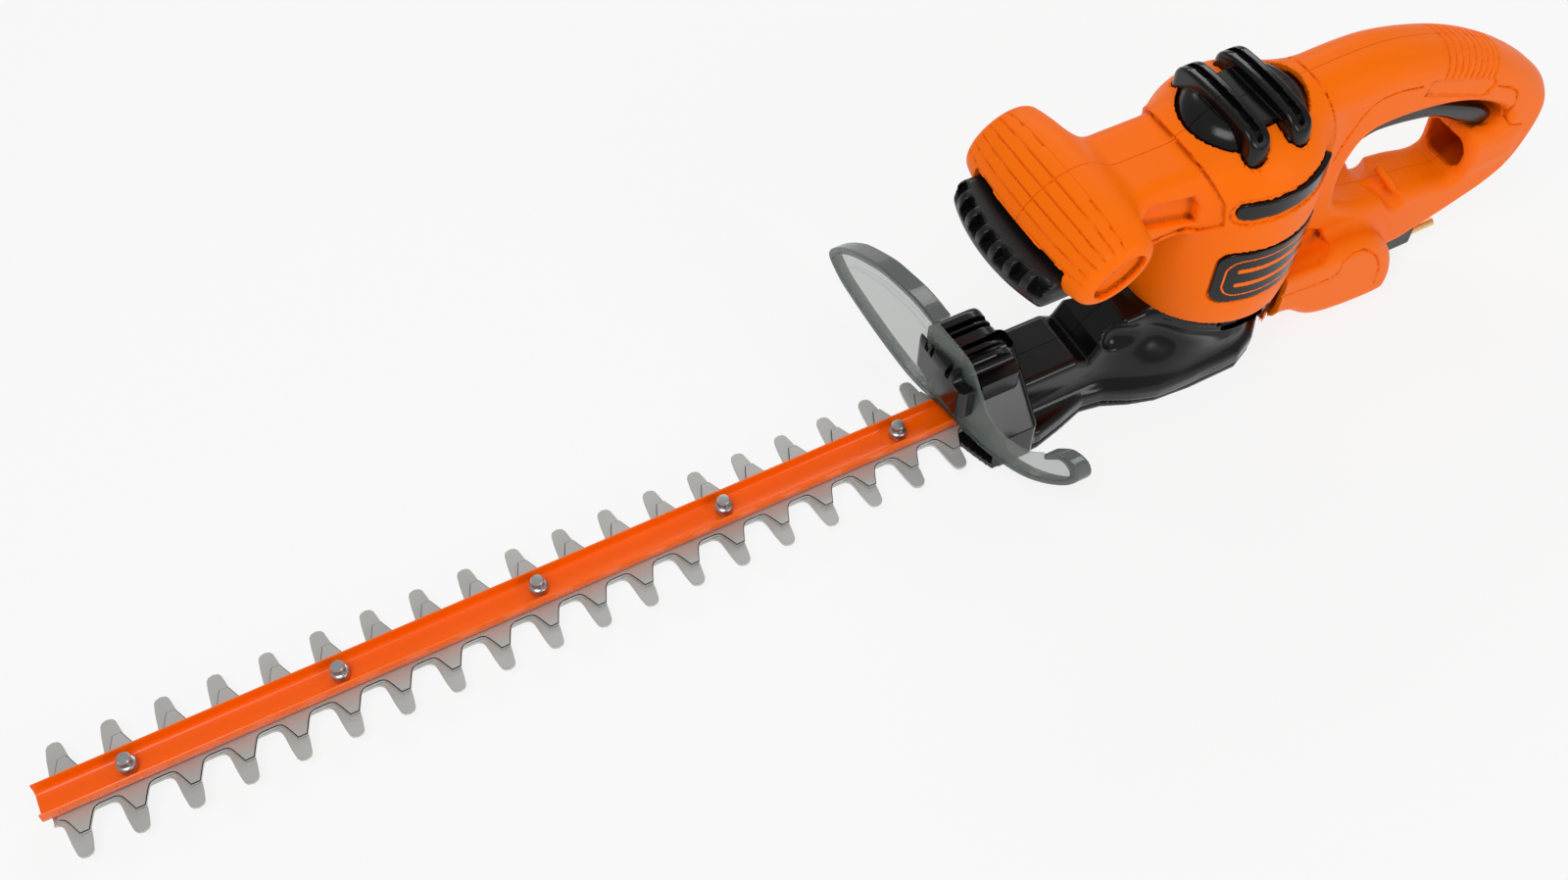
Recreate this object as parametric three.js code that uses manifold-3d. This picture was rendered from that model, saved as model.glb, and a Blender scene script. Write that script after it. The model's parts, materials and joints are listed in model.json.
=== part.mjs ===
// Corded hedge trimmer: blade bar, hand guard, gear housing, motor barrel, front T handle and rear D handle.
// Millimetres. +Z is up, -X points forward along the blade, -Y is the operator's left.
// The origin lies on the flat sole of the gear housing, straight under the motor shaft.
import * as THREE from 'three';
import { mergeVertices } from 'three/addons/utils/BufferGeometryUtils.js';
import Module from 'manifold-3d';

const wasm = await Module();
wasm.setup();

// ---- driving dimensions -------------------------------------------------------------------------
const GAP = 0.3; // clearance between neighbouring pieces
const WALL = 2.5; // moulded wall of the housings
const SEAM = 0.15; // each half stops this far from the middle plane

const TOOTH_PITCH = 25;
const TOOTH_COUNT = 19;
const FIRST_TOOTH_X = -606;
const TOOTH_REACH = 30.5; // middle of the blade to the tip of a long tooth
const SHORT_TOOTH_REACH = 20.5;
const BLADE_HALF = 11.5;
const BLADE_THICK = 2;
const LOWER_BLADE_Z = 8;
const UPPER_BLADE_Z = LOWER_BLADE_Z + BLADE_THICK + GAP;
const STROKE_HALF = 6.25; // throw of each eccentric
const REST_SHIFT = 1.25; // how far each blade stands from mid-stroke at rest
const SLOT_HALF = 10.6;

const CHANNEL_FRONT_X = -619.5;
const CHANNEL_REAR_X = -76;
const CHANNEL_HALF = 8.6;
const CHANNEL_WALL = 1.2;
const CHANNEL_Z = UPPER_BLADE_Z + BLADE_THICK + GAP;
const CHANNEL_TOP = 20;
const BOLT_COUNT = 5;
const FIRST_BOLT_X = -579;
const BOLT_PITCH = 100;
const BOLT_RADIUS = 2.4;

const GUARD_X = -153.5;
const GUARD_THICK = 2.5;
const GUARD_RIM_DEPTH = 9;
const GUARD_SWEEP_DEG = 34; // the left wing is swept back from y = GUARD_BEND_Y
const GUARD_BEND_Y = -22;

const MOTOR_R = 45; // outside of the barrel
const BARREL_BOTTOM = 58;
const SHAFT_R = 4;
const GEAR_MODULE = 1;
const PINION_TEETH = 9;
const GEAR_TEETH = 54;
const GEAR_X = (-GEAR_MODULE * (PINION_TEETH + GEAR_TEETH)) / 2;
const GEAR_Z = 23;
const GEAR_THICK = 8;
const ECCENTRIC_R = 9.5;
const GEAR_SHAFT_R = 3;

const T_BAR = { x: -103.5, z: 150, long: 26, short: 18, halfY: 52, tiltDeg: 32 };
const HANDLE_HALF = 17;
const LOOP = { x0: 160, x1: 203, z0: 55, z1: 85, half: 18, wall: 3 };
const BULGE_HALF = 34;
const TRIGGER_HALF = 7;
const TRIGGER_PIVOT = { x: 84, z: 131 };
const REAR_SWITCH_X = 130;
const FRONT_SWITCH_X = -111;
const LEVER_TRAVEL = 3;

const COLOURS = {
  orange: [0xff6a00, 0.45, 0],
  redOrange: [0xf45208, 0.4, 0.1],
  black: [0x111214, 0.3, 0],
  dark: [0x26282a, 0.6, 0],
  clear: [0x9fb0a8, 0.15, 0],
  steel: [0x9ea1a4, 0.35, 0.9],
  brass: [0xc89a4a, 0.3, 0.9],
  copper: [0xb56a3a, 0.4, 0.9],
  carbon: [0x303030, 0.8, 0],
  cream: [0xd8d2c0, 0.6, 0],
  alloy: [0xb8bcc0, 0.45, 0.8],
};

const trimmer = new THREE.Group();
trimmer.name = 'hedge_trimmer';

// ---- helpers ------------------------------------------------------------------------------------

// A closed geometry as a solid that can be cut and joined.
function solid(geometry) {
  const bare = geometry.index ? geometry.toNonIndexed() : geometry.clone();
  bare.deleteAttribute('normal');
  bare.deleteAttribute('uv');
  const merged = mergeVertices(bare, 1e-3);
  const triVerts = new Uint32Array(merged.index.array);
  const build = () =>
    new wasm.Manifold(
      new wasm.Mesh({ numProp: 3, vertProperties: merged.attributes.position.array, triVerts }),
    );
  const made = build();
  if (made.volume() > 0) return made;
  for (let i = 0; i < triVerts.length; i += 3) {
    [triVerts[i + 1], triVerts[i + 2]] = [triVerts[i + 2], triVerts[i + 1]];
  }
  return build();
}

function geometryOf(body) {
  const mesh = body.getMesh();
  const geometry = new THREE.BufferGeometry();
  geometry.setAttribute('position', new THREE.BufferAttribute(new Float32Array(mesh.vertProperties), 3));
  geometry.setIndex(new THREE.BufferAttribute(new Uint32Array(mesh.triVerts), 1));
  geometry.computeVertexNormals();
  return geometry;
}

const joinAll = (bodies) => bodies.reduce((sum, body) => sum.add(body));
const cutAll = (body, tools) => tools.reduce((left, tool) => left.subtract(tool), body);

function addPiece(name, body, [color, roughness, metalness], position = [0, 0, 0]) {
  const material = new THREE.MeshStandardMaterial({ color, roughness, metalness });
  if (color === COLOURS.clear[0]) {
    material.transparent = true;
    material.opacity = 0.4;
  }
  const mesh = new THREE.Mesh(geometryOf(body), material);
  mesh.name = name;
  mesh.position.set(...position);
  trimmer.add(mesh);
}

// Puts the extrusion axis along X, Y or Z. The outline is (y, z) for X, (x, z) for Y and (x, y) for Z.
const TO_AXIS = {
  x: new THREE.Matrix4().set(0, 0, 1, 0, 1, 0, 0, 0, 0, 1, 0, 0, 0, 0, 0, 1),
  y: new THREE.Matrix4().set(1, 0, 0, 0, 0, 0, 1, 0, 0, 1, 0, 0, 0, 0, 0, 1),
  z: new THREE.Matrix4(),
};

// A prism of an outline from low to high along an axis, with its edges rounded and the whole of it inset.
// An inset prism needs a bevel to move its outline, so it gets a hair of one.
function prism(axis, shape, low, high, round = 0, inset = 0) {
  const bevel = round || (inset ? 0.05 : 0);
  const geometry = new THREE.ExtrudeGeometry(shape, {
    depth: high - low - 2 * bevel - 2 * inset,
    bevelEnabled: bevel > 0,
    bevelThickness: bevel,
    bevelSize: bevel,
    bevelOffset: -bevel - inset,
    bevelSegments: round ? 2 : 1,
    curveSegments: 5,
  });
  geometry.translate(0, 0, low + bevel + inset);
  geometry.applyMatrix4(TO_AXIS[axis]);
  return solid(geometry);
}

const outline = (points) => new THREE.Shape(points.map(([u, v]) => new THREE.Vector2(u, v)));

function box(x0, x1, y0, y1, z0, z1) {
  const geometry = new THREE.BoxGeometry(x1 - x0, y1 - y0, z1 - z0);
  geometry.translate((x0 + x1) / 2, (y0 + y1) / 2, (z0 + z1) / 2);
  return solid(geometry);
}

function roundedRect(u0, u1, v0, v1, r) {
  const shape = new THREE.Shape();
  shape.moveTo(u0 + r, v0);
  shape.lineTo(u1 - r, v0);
  shape.absarc(u1 - r, v0 + r, r, -Math.PI / 2, 0);
  shape.lineTo(u1, v1 - r);
  shape.absarc(u1 - r, v1 - r, r, 0, Math.PI / 2);
  shape.lineTo(u0 + r, v1);
  shape.absarc(u0 + r, v1 - r, r, Math.PI / 2, Math.PI);
  shape.lineTo(u0, v0 + r);
  shape.absarc(u0 + r, v0 + r, r, Math.PI, 1.5 * Math.PI);
  return shape;
}

// A turned body about the Z axis through (x, y), from [radius, z] pairs that start and end on the axis
// or close on themselves.
function turned(profile, segments = 20, x = 0, y = 0) {
  const geometry = new THREE.LatheGeometry(
    profile.map(([r, z]) => new THREE.Vector2(r, z)),
    segments,
  );
  geometry.rotateX(Math.PI / 2);
  geometry.translate(x, y, 0);
  return solid(geometry);
}

const rod = (r, z0, z1, segments, x, y) => turned([[0, z0], [r, z0], [r, z1], [0, z1]], segments, x, y);

const ring = (inner, outer, z0, z1, segments, x, y) =>
  turned([[inner, z0], [outer, z0], [outer, z1], [inner, z1], [inner, z0]], segments, x, y);

// A rod along Y through (x, z).
function crossRod(r, y0, y1, segments, x, z) {
  const geometry = new THREE.CylinderGeometry(r, r, y1 - y0, segments);
  geometry.translate(x, (y0 + y1) / 2, z);
  return solid(geometry);
}

// A rod along X through (y, z).
function longRod(r, x0, x1, segments, y, z) {
  const geometry = new THREE.CylinderGeometry(r, r, x1 - x0, segments);
  geometry.rotateZ(Math.PI / 2);
  geometry.translate((x0 + x1) / 2, y, z);
  return solid(geometry);
}

// A coil spring about a vertical axis.
function coil(x, y, z0, z1, radius, wire, turns) {
  class Helix extends THREE.Curve {
    getPoint(t, target = new THREE.Vector3()) {
      const angle = 2 * Math.PI * turns * t;
      const rise = z0 + wire + (z1 - z0 - 2 * wire) * t;
      return target.set(x + radius * Math.cos(angle), y + radius * Math.sin(angle), rise);
    }
  }
  const section = new THREE.Shape();
  section.absarc(0, 0, wire, 0, 2 * Math.PI);
  const geometry = new THREE.ExtrudeGeometry(section, {
    steps: turns * 10,
    curveSegments: 3,
    extrudePath: new Helix(),
  });
  return solid(geometry);
}

// The part of a body on one side of the middle plane: side is -1 for left and 1 for right.
const FAR = 900;
const sideOf = (body, side) =>
  body.intersect(side < 0 ? box(-FAR, FAR, -FAR, -SEAM, -FAR, FAR) : box(-FAR, FAR, SEAM, FAR, -FAR, FAR));

// Cuts can leave crumbs: this keeps the largest of a body's separate pieces.
const largest = (body) => body.decompose().sort((a, b) => b.volume() - a.volume())[0];

const SIDES = [
  ['left', -1],
  ['right', 1],
];

// ---- blade bar ----------------------------------------------------------------------------------
const BLADE_FRONT_X = FIRST_TOOTH_X - 9;
const BOLT_XS = Array.from({ length: BOLT_COUNT }, (_, i) => FIRST_BOLT_X + BOLT_PITCH * i);
const YOKE_HALF_X = ECCENTRIC_R + 2 * STROKE_HALF + 0.8;
const YOKE_HALF_Y = ECCENTRIC_R + STROKE_HALF + 0.8;
const YOKE_WALL = 3.4;

// One tooth's edge from its front root to its back root, on the +Y side, about x.
function longTooth(x) {
  const tip = TOOTH_REACH;
  return [
    [x - 8.5, BLADE_HALF],
    [x - 5, BLADE_HALF + 3.5],
    [x - 3.2, tip - 1.6],
    [x - 1.5, tip],
    [x + 1.5, tip],
    [x + 3.2, tip - 1.6],
    [x + 5, BLADE_HALF + 3.5],
    [x + 8.5, BLADE_HALF],
  ];
}

function shortTooth(x) {
  return [
    [x - 6.4, BLADE_HALF],
    [x - 2, SHORT_TOOTH_REACH],
    [x + 2, SHORT_TOOTH_REACH],
    [x + 6.4, BLADE_HALF],
  ];
}

// A reciprocating blade: toothed bar, slots for the bolts and a yoke round the eccentric.
function blade(tooth, shift, z) {
  const edge = [];
  for (let k = 0; k < TOOTH_COUNT; k++) {
    edge.push(...tooth(FIRST_TOOTH_X + k * TOOTH_PITCH + shift));
  }
  const front = BLADE_FRONT_X + shift;
  const yokeX = GEAR_X + shift;
  const neck = yokeX - YOKE_HALF_X - YOKE_WALL + 1;
  const body = outline([
    [front, -BLADE_HALF],
    ...edge.map(([x, y]) => [x, -y]),
    [neck, -BLADE_HALF],
    [neck, BLADE_HALF],
    ...edge.reverse(),
    [front, BLADE_HALF],
  ]);
  for (const x of BOLT_XS) {
    body.holes.push(new THREE.Path(
      roundedRect(x + shift - SLOT_HALF, x + shift + SLOT_HALF, -2.8, 2.8, 2.7).getPoints(1),
    ));
  }
  const yoke = roundedRect(
    yokeX - YOKE_HALF_X - YOKE_WALL,
    yokeX + YOKE_HALF_X + YOKE_WALL,
    -YOKE_HALF_Y - YOKE_WALL,
    YOKE_HALF_Y + YOKE_WALL,
    8,
  );
  yoke.holes.push(new THREE.Path(
    roundedRect(yokeX - YOKE_HALF_X, yokeX + YOKE_HALF_X, -YOKE_HALF_Y, YOKE_HALF_Y, 5).getPoints(1),
  ));
  return prism('z', body, z, z + BLADE_THICK).add(prism('z', yoke, z, z + BLADE_THICK));
}

addPiece('lower_blade', blade(longTooth, -REST_SHIFT, LOWER_BLADE_Z), COLOURS.steel);
addPiece('upper_blade', blade(shortTooth, REST_SHIFT, UPPER_BLADE_Z), COLOURS.steel);

// Channel with its legs up, open at both ends.
const channelSection = outline([
  [-CHANNEL_HALF, CHANNEL_Z],
  [CHANNEL_HALF, CHANNEL_Z],
  [CHANNEL_HALF, CHANNEL_TOP],
  [CHANNEL_HALF - CHANNEL_WALL, CHANNEL_TOP],
  [CHANNEL_HALF - CHANNEL_WALL, CHANNEL_Z + CHANNEL_WALL + 1.5],
  [CHANNEL_HALF - CHANNEL_WALL - 1.5, CHANNEL_Z + CHANNEL_WALL],
  [-CHANNEL_HALF + CHANNEL_WALL + 1.5, CHANNEL_Z + CHANNEL_WALL],
  [-CHANNEL_HALF + CHANNEL_WALL, CHANNEL_Z + CHANNEL_WALL + 1.5],
  [-CHANNEL_HALF + CHANNEL_WALL, CHANNEL_TOP],
  [-CHANNEL_HALF, CHANNEL_TOP],
]);
const boltHoles = BOLT_XS.map((x) => rod(BOLT_RADIUS + GAP, CHANNEL_Z - 1, CHANNEL_TOP, 12, x, 0));
addPiece(
  'blade_channel',
  cutAll(prism('x', channelSection, CHANNEL_FRONT_X, CHANNEL_REAR_X), boltHoles),
  COLOURS.redOrange,
);

// Each bolt has its head under the blades, and its collar and stud above the channel's web.
const boltBody = turned(
  [
    [0, 4.9],
    [4, 4.9],
    [4, LOWER_BLADE_Z - GAP],
    [BOLT_RADIUS, LOWER_BLADE_Z - GAP],
    [BOLT_RADIUS, CHANNEL_Z + CHANNEL_WALL + GAP],
    [4, CHANNEL_Z + CHANNEL_WALL + GAP],
    [4, 19.6],
    [3, 20.4],
    [3, 23.6],
    [2.4, 24.3],
    [0, 24.3],
  ],
  10,
);
BOLT_XS.forEach((x, i) => addPiece(`blade_bolt_${i + 1}`, boltBody, COLOURS.steel, [x, 0, 0]));

// ---- hand guard and its clamp -------------------------------------------------------------------
const CLAMP = { x0: -158, x1: -121, y0: -21, y1: 23, top: 66 };

// The right wing stands square across the bar, as a (y, z) outline of the lower and the upper rim.
function rightWing() {
  const shape = new THREE.Shape();
  shape.moveTo(10, 15.5);
  shape.lineTo(62, 10);
  shape.lineTo(106, 10);
  shape.quadraticCurveTo(116, 14, 119, 27);
  shape.quadraticCurveTo(104, 50, 70, 66);
  shape.quadraticCurveTo(44, 77, 10, 78);
  return shape;
}

function leftWing() {
  const shape = new THREE.Shape();
  shape.moveTo(-20, 16);
  shape.lineTo(-40, 16);
  shape.quadraticCurveTo(-74, 18, -84, 23);
  shape.quadraticCurveTo(-87, 30, -78, 40);
  shape.quadraticCurveTo(-56, 62, -20, 68);
  return shape;
}

// A wing is a thin plate with a rim that runs back from its edge.
function wing(shape) {
  const plate = prism('x', shape, GUARD_X, GUARD_X + GUARD_THICK);
  const rim = prism('x', shape, GUARD_X - 1, GUARD_X + GUARD_RIM_DEPTH);
  const inside = prism('x', shape, GUARD_X - 2, GUARD_X + GUARD_RIM_DEPTH + 1, 0, GUARD_THICK);
  return plate.add(rim.subtract(inside));
}

function swept(body) {
  return body
    .translate([-GUARD_X, -GUARD_BEND_Y, 0])
    .rotate([0, 0, GUARD_SWEEP_DEG])
    .translate([GUARD_X, GUARD_BEND_Y, 0]);
}

const bridge = box(GUARD_X, GUARD_X + GUARD_THICK, -25, 14, 16, 62);
const spineRoom = box(-149, -100, -19 - GAP, 19 + GAP, 4, 24);
const flangeRoom = box(-149 - GAP, -100, -36, 36, 0, 15 + GAP);
const clampRoom = box(CLAMP.x0 - GAP, GUARD_X + 40, CLAMP.y0 - GAP, CLAMP.y1 + GAP, 24 - GAP, 99);
const channelRoom = box(-200, -100, -CHANNEL_HALF - GAP, CHANNEL_HALF + GAP, 0, CHANNEL_TOP + GAP);
const bladeRoom = box(-200, -100, -TOOTH_REACH - 2, TOOTH_REACH + 2, 0, 13.2);
const guardRooms = [spineRoom, flangeRoom, clampRoom, channelRoom, bladeRoom];
const guardBody = joinAll([wing(rightWing()), swept(wing(leftWing())), bridge]);
addPiece('guard', largest(cutAll(guardBody, guardRooms)), COLOURS.clear);

// Ribbed block over the bar that clamps the guard to the gear housing.
const clampSide = new THREE.Shape();
clampSide.moveTo(CLAMP.x0, 24);
clampSide.lineTo(CLAMP.x0, 50);
clampSide.quadraticCurveTo(CLAMP.x0 + 12, CLAMP.top, CLAMP.x0 + 24, CLAMP.top);
clampSide.quadraticCurveTo(CLAMP.x1, CLAMP.top - 2, CLAMP.x1, 46);
clampSide.lineTo(CLAMP.x1, 24);
let clampBody = prism('y', clampSide, CLAMP.y0, CLAMP.y1, 1.5);
for (let i = 0; i < 3; i++) {
  const y = CLAMP.y0 + 7 + i * 8;
  clampBody = clampBody.subtract(box(CLAMP.x0 - 1, CLAMP.x1 - 8, y, y + 4, 54, 99));
}
addPiece('guard_clamp', clampBody, COLOURS.black);

// ---- gear housing -------------------------------------------------------------------------------
// Half width of the sole along X, from the front to the back.
const SOLE = [
  [-149, 34], [-112, 33], [-96, 29], [-80, 24], [-68, 26], [-54, 32], [-40, 36],
  [-18, 37.5], [12, 37], [25, 31], [39, 18],
];
const SOLE_BACK = 45;
const solePoints = [
  ...SOLE.map(([x, y]) => [x, -y]),
  [SOLE_BACK, -6],
  [SOLE_BACK, 6],
  ...SOLE.map(([x, y]) => [x, y]).reverse(),
];
const PLATE_TOP = 4;
addPiece('base_plate', prism('z', outline(solePoints), 0, PLATE_TOP), COLOURS.dark);

const HOUSING_Z = PLATE_TOP + GAP;
const spineSide = outline([
  [-148.5, HOUSING_Z], [-148.5, 22], [-119, 22], [-119, 40], [-82, 40], [-76, 48],
  [-55, 57], [0, 57], [0, HOUSING_Z],
]);
const gearbox = (inset) =>
  turned(
    [
      [0, HOUSING_Z - 3 * inset],
      [33 - inset, HOUSING_Z - 3 * inset],
      [33 - inset, 30],
      [42 - inset, 48],
      [42 - inset, BARREL_BOTTOM - GAP + 2 * inset],
      [0, BARREL_BOTTOM - GAP + 2 * inset],
    ],
    28,
  );
const GEAR_ROOM_R = (GEAR_MODULE * GEAR_TEETH) / 2 + 3;
const housingOuter = joinAll([
  prism('z', outline(solePoints), HOUSING_Z, 15, 2),
  prism('y', spineSide, -19, 19, 2),
  rod(GEAR_ROOM_R + WALL, HOUSING_Z, 46, 28, GEAR_X, 0),
  gearbox(0),
]);
const housingInner = joinAll([
  gearbox(WALL),
  rod(GEAR_ROOM_R, HOUSING_Z - 1, 43, 24, GEAR_X, 0),
  box(-80, -8, -21.4, 21.4, HOUSING_Z - 1, 18),
  box(-160, -60, -BLADE_HALF - 1.2, BLADE_HALF + 1.2, HOUSING_Z - 1, CHANNEL_TOP + GAP),
  box(-160, -142, -TOOTH_REACH - 1, TOOTH_REACH + 1, HOUSING_Z - 1, 13.2),
]);
for (const [side, sign] of SIDES) {
  addPiece(`gear_housing_${side}`, largest(sideOf(housingOuter.subtract(housingInner), sign)), COLOURS.black);
}

// ---- gear train ---------------------------------------------------------------------------------
// A spur gear's outline: straight-flanked teeth, thinned a little for backlash.
function gearOutline(teeth, phase) {
  const pitchR = (GEAR_MODULE * teeth) / 2;
  const half = (Math.PI * GEAR_MODULE) / 4 - 0.12;
  const flank = Math.tan(THREE.MathUtils.degToRad(20));
  const points = [];
  for (let k = 0; k < teeth; k++) {
    const middle = phase + (2 * Math.PI * k) / teeth;
    const corners = [
      [-1.15, -half - 1.15 * flank],
      [0.85, -half + 0.85 * flank],
      [0.85, half - 0.85 * flank],
      [-1.15, half + 1.15 * flank],
    ];
    for (const [height, across] of corners) {
      const r = pitchR + height * GEAR_MODULE;
      const angle = middle + across / pitchR;
      points.push([r * Math.cos(angle), r * Math.sin(angle)]);
    }
  }
  return outline(points);
}

// The gear turns about its shaft at GEAR_X, with a tooth space facing the pinion's tooth.
const gearBlank = prism('z', gearOutline(GEAR_TEETH, Math.PI / GEAR_TEETH), GEAR_Z, GEAR_Z + GEAR_THICK);
addPiece(
  'drive_gear',
  gearBlank.subtract(rod(GEAR_SHAFT_R + GAP, 0, 60, 16)),
  COLOURS.steel,
  [GEAR_X, 0, 0],
);
const pinionBlank = prism('z', gearOutline(PINION_TEETH, Math.PI), GEAR_Z - 1, GEAR_Z + GEAR_THICK + 1);
const PINION_BORE = 2.2;
addPiece('pinion', pinionBlank.subtract(rod(PINION_BORE + GAP, 0, 60, 12)), COLOURS.steel);

addPiece('gear_shaft', rod(GEAR_SHAFT_R, HOUSING_Z, 41, 14, GEAR_X, 0), COLOURS.steel);
addPiece('shaft_bush', ring(GEAR_SHAFT_R + GAP, 6, HOUSING_Z, 7.4, 16, GEAR_X, 0), COLOURS.brass);

// An eccentric disc's middle stands to the side of the shaft, because the blades rest near mid-stroke.
function eccentric(sign, z0, z1) {
  const shaftHole = rod(GEAR_SHAFT_R + GAP, z0 - 1, z1 + 1, 14, GEAR_X, 0);
  return rod(ECCENTRIC_R, z0, z1, 24, GEAR_X, sign * STROKE_HALF).subtract(shaftHole);
}
addPiece('lower_eccentric', eccentric(-1, 7.8, 10.1), COLOURS.steel);
addPiece('upper_eccentric', eccentric(1, 10.4, 12.8), COLOURS.steel);

// Plate between the gears and the motor, with a seat for the lower bearing.
const PLATE_Z = 43.6;
const gearPlate = joinAll([
  rod(37, PLATE_Z + 1.9, PLATE_Z + 5, 28),
  ring(11.3, 14, PLATE_Z + 4, PLATE_Z + 12, 20),
]).subtract(rod(6, 40, 70, 16));
addPiece('gear_plate', gearPlate, COLOURS.alloy);

// ---- motor --------------------------------------------------------------------------------------
addPiece(
  'motor_shaft',
  turned(
    [
      [0, 21], [PINION_BORE, 21], [PINION_BORE, GEAR_Z + GEAR_THICK + 1.4],
      [SHAFT_R, GEAR_Z + GEAR_THICK + 1.4], [SHAFT_R, 154], [0, 154],
    ],
    14,
  ),
  COLOURS.steel,
);
addPiece('lower_bearing', ring(SHAFT_R + GAP, 11, PLATE_Z + 5.3, PLATE_Z + 12, 18), COLOURS.steel);
addPiece('upper_bearing', ring(SHAFT_R + GAP, 9.5, 146, 152, 18), COLOURS.steel);

const FAN_BLADES = 9;
const fanDisc = ring(SHAFT_R + GAP, 35, 60, 61.6, 24);
const fanHub = ring(SHAFT_R + GAP, 9, 60, 69, 16);
const fanBlades = Array.from({ length: FAN_BLADES }, (_, k) =>
  box(12, 34, -0.8, 0.8, 61, 69).rotate([0, 0, (360 * k) / FAN_BLADES]),
);
addPiece('cooling_fan', joinAll([fanDisc, fanHub, ...fanBlades]), COLOURS.dark);

const ARMATURE_R = 20.5;
const SLOTS = 12;
const slotTools = Array.from({ length: SLOTS }, (_, k) =>
  box(11, 30, -1.4, 1.4, 70, 130).rotate([0, 0, (360 * (k + 0.5)) / SLOTS]),
);
addPiece('armature_core', cutAll(ring(SHAFT_R + GAP, ARMATURE_R, 84, 120, 36), slotTools), COLOURS.steel);
const windingProfile = (z0, z1) => [[8, z0], [17, z0], [19, (z0 + z1) / 2], [17, z1], [8, z1], [8, z0]];
addPiece('armature_winding_lower', turned(windingProfile(74, 84 - GAP), 14), COLOURS.copper);
addPiece('armature_winding_upper', turned(windingProfile(120 + GAP, 129), 14), COLOURS.copper);
addPiece('commutator', ring(SHAFT_R + GAP, 11, 130, 143, 24), COLOURS.copper);

const coilWindow = (y) => box(-15, 15, y - 4.2, y + 4.2, 70, 130);
const COIL_Y = 29;
const statorCore = cutAll(ring(ARMATURE_R + 1, 37, 82, 122, 36), [coilWindow(COIL_Y), coilWindow(-COIL_Y)]);
addPiece('stator_core', statorCore, COLOURS.steel);
for (const [index, sign] of [[1, -1], [2, 1]]) {
  const turn = prism('z', roundedRect(-14, 14, sign * COIL_Y - 3.8, sign * COIL_Y + 3.8, 3), 74, 127);
  addPiece(`field_coil_${index}`, turn, COLOURS.copper);
}

const brushPlate = ring(15, 38.5, 129.2, 131.6, 28);
addPiece('brush_plate', brushPlate, COLOURS.cream);
for (const [index, sign] of [[1, -1], [2, 1]]) {
  const at = (r0, r1, half, z0, z1) =>
    box(Math.min(sign * r0, sign * r1), Math.max(sign * r0, sign * r1), -half, half, z0, z1);
  addPiece(
    `brush_holder_${index}`,
    at(13, 33, 5, 131.9, 142).subtract(at(12, 31, 3.6, 133.3, 140.6)),
    COLOURS.brass,
  );
  addPiece(`brush_${index}`, at(11.4, 27, 3.2, 133.7, 140.2), COLOURS.carbon);
}

// Bridge that holds the upper bearing under the top of the barrel.
const bearingBridge = joinAll([box(-34, 34, -7, 7, 152.3, 155), ring(9.8, 13, 146, 154, 20)]).subtract(
  rod(SHAFT_R + 1, 140, 160, 14),
);
addPiece('bearing_bridge', bearingBridge, COLOURS.cream);

// ---- orange housing -----------------------------------------------------------------------------
// Motor barrel: a slightly bellied drum with a round shoulder.
function barrel(inset) {
  const sides = [[43, BARREL_BOTTOM], [45, 80], [MOTOR_R, 134], [43, 147], [38, 158], [31, 166], [24, 169]];
  const profile = sides.map(([r, z]) => [r - inset, z - (z > 140 ? inset : 0)]);
  profile[0][1] -= 2 * inset;
  return turned([[0, profile[0][1]], ...profile, [0, 169 - inset]], 36);
}

// Arm from the barrel to the T bar.
const arm = (inset) => prism('x', roundedRect(-26, 26, 124, 161, 12), -92, -14, 0, inset);

// Puts a body of revolution about Y into the T bar's tilted oval section.
function asTBar(geometry) {
  geometry.scale(T_BAR.long / T_BAR.short, 1, 1);
  geometry.rotateY(THREE.MathUtils.degToRad(-T_BAR.tiltDeg));
  geometry.translate(T_BAR.x, 0, T_BAR.z);
  return solid(geometry);
}

// Ovoid T bar, thinner towards its two ends.
function tBar(inset) {
  const end = T_BAR.halfY;
  const profile = [
    [0, -end],
    [11, -end],
    [13.5, -end + 2.5],
    [16, -end + 14],
    [17.5, -end + 30],
    [T_BAR.short, 0],
  ];
  const full = [...profile, ...profile.slice(0, -1).reverse().map(([r, y]) => [r, -y])];
  const inner = full.map(([r, y]) => {
    return new THREE.Vector2(r ? Math.max(0, r - inset) : 0, y - Math.sign(y) * inset);
  });
  return asTBar(new THREE.LatheGeometry(inner, 24));
}

// Side view of the rear D handle with its hand gap.
function handleSide() {
  const shape = new THREE.Shape();
  shape.moveTo(0, 158);
  shape.lineTo(20, 171);
  shape.splineThru(
    [[60, 174.6], [90, 172], [129, 159.7], [165, 140.5], [198, 116], [213, 98], [215, 80], [206, 56]].map(
      ([x, z]) => new THREE.Vector2(x, z),
    ),
  );
  shape.lineTo(192, 42);
  shape.splineThru([[172, 33], [145, 24], [118, 20]].map(([x, z]) => new THREE.Vector2(x, z)));
  shape.lineTo(0, 20);
  const gap = outline([
    [66, 94], [70, 82], [78, 76], [90, 70.5], [112, 66], [134, 62.5], [LOOP.x0 + 1, 58.5],
    [LOOP.x0 + 1, 86], [176, 87.5], [182, 92], [176, 100], [158, 110], [134, 120], [108, 125],
    [84, 127], [72, 124], [66, 112],
  ]);
  shape.holes.push(gap);
  return shape;
}

// Wide lower body behind the barrel.
const bulgeSide = outline([
  [0, 10], [30, 6], [90, 3], [109, 3], [122, 14], [122, 40], [108, 50], [60, 62], [0, 90],
]);

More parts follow.
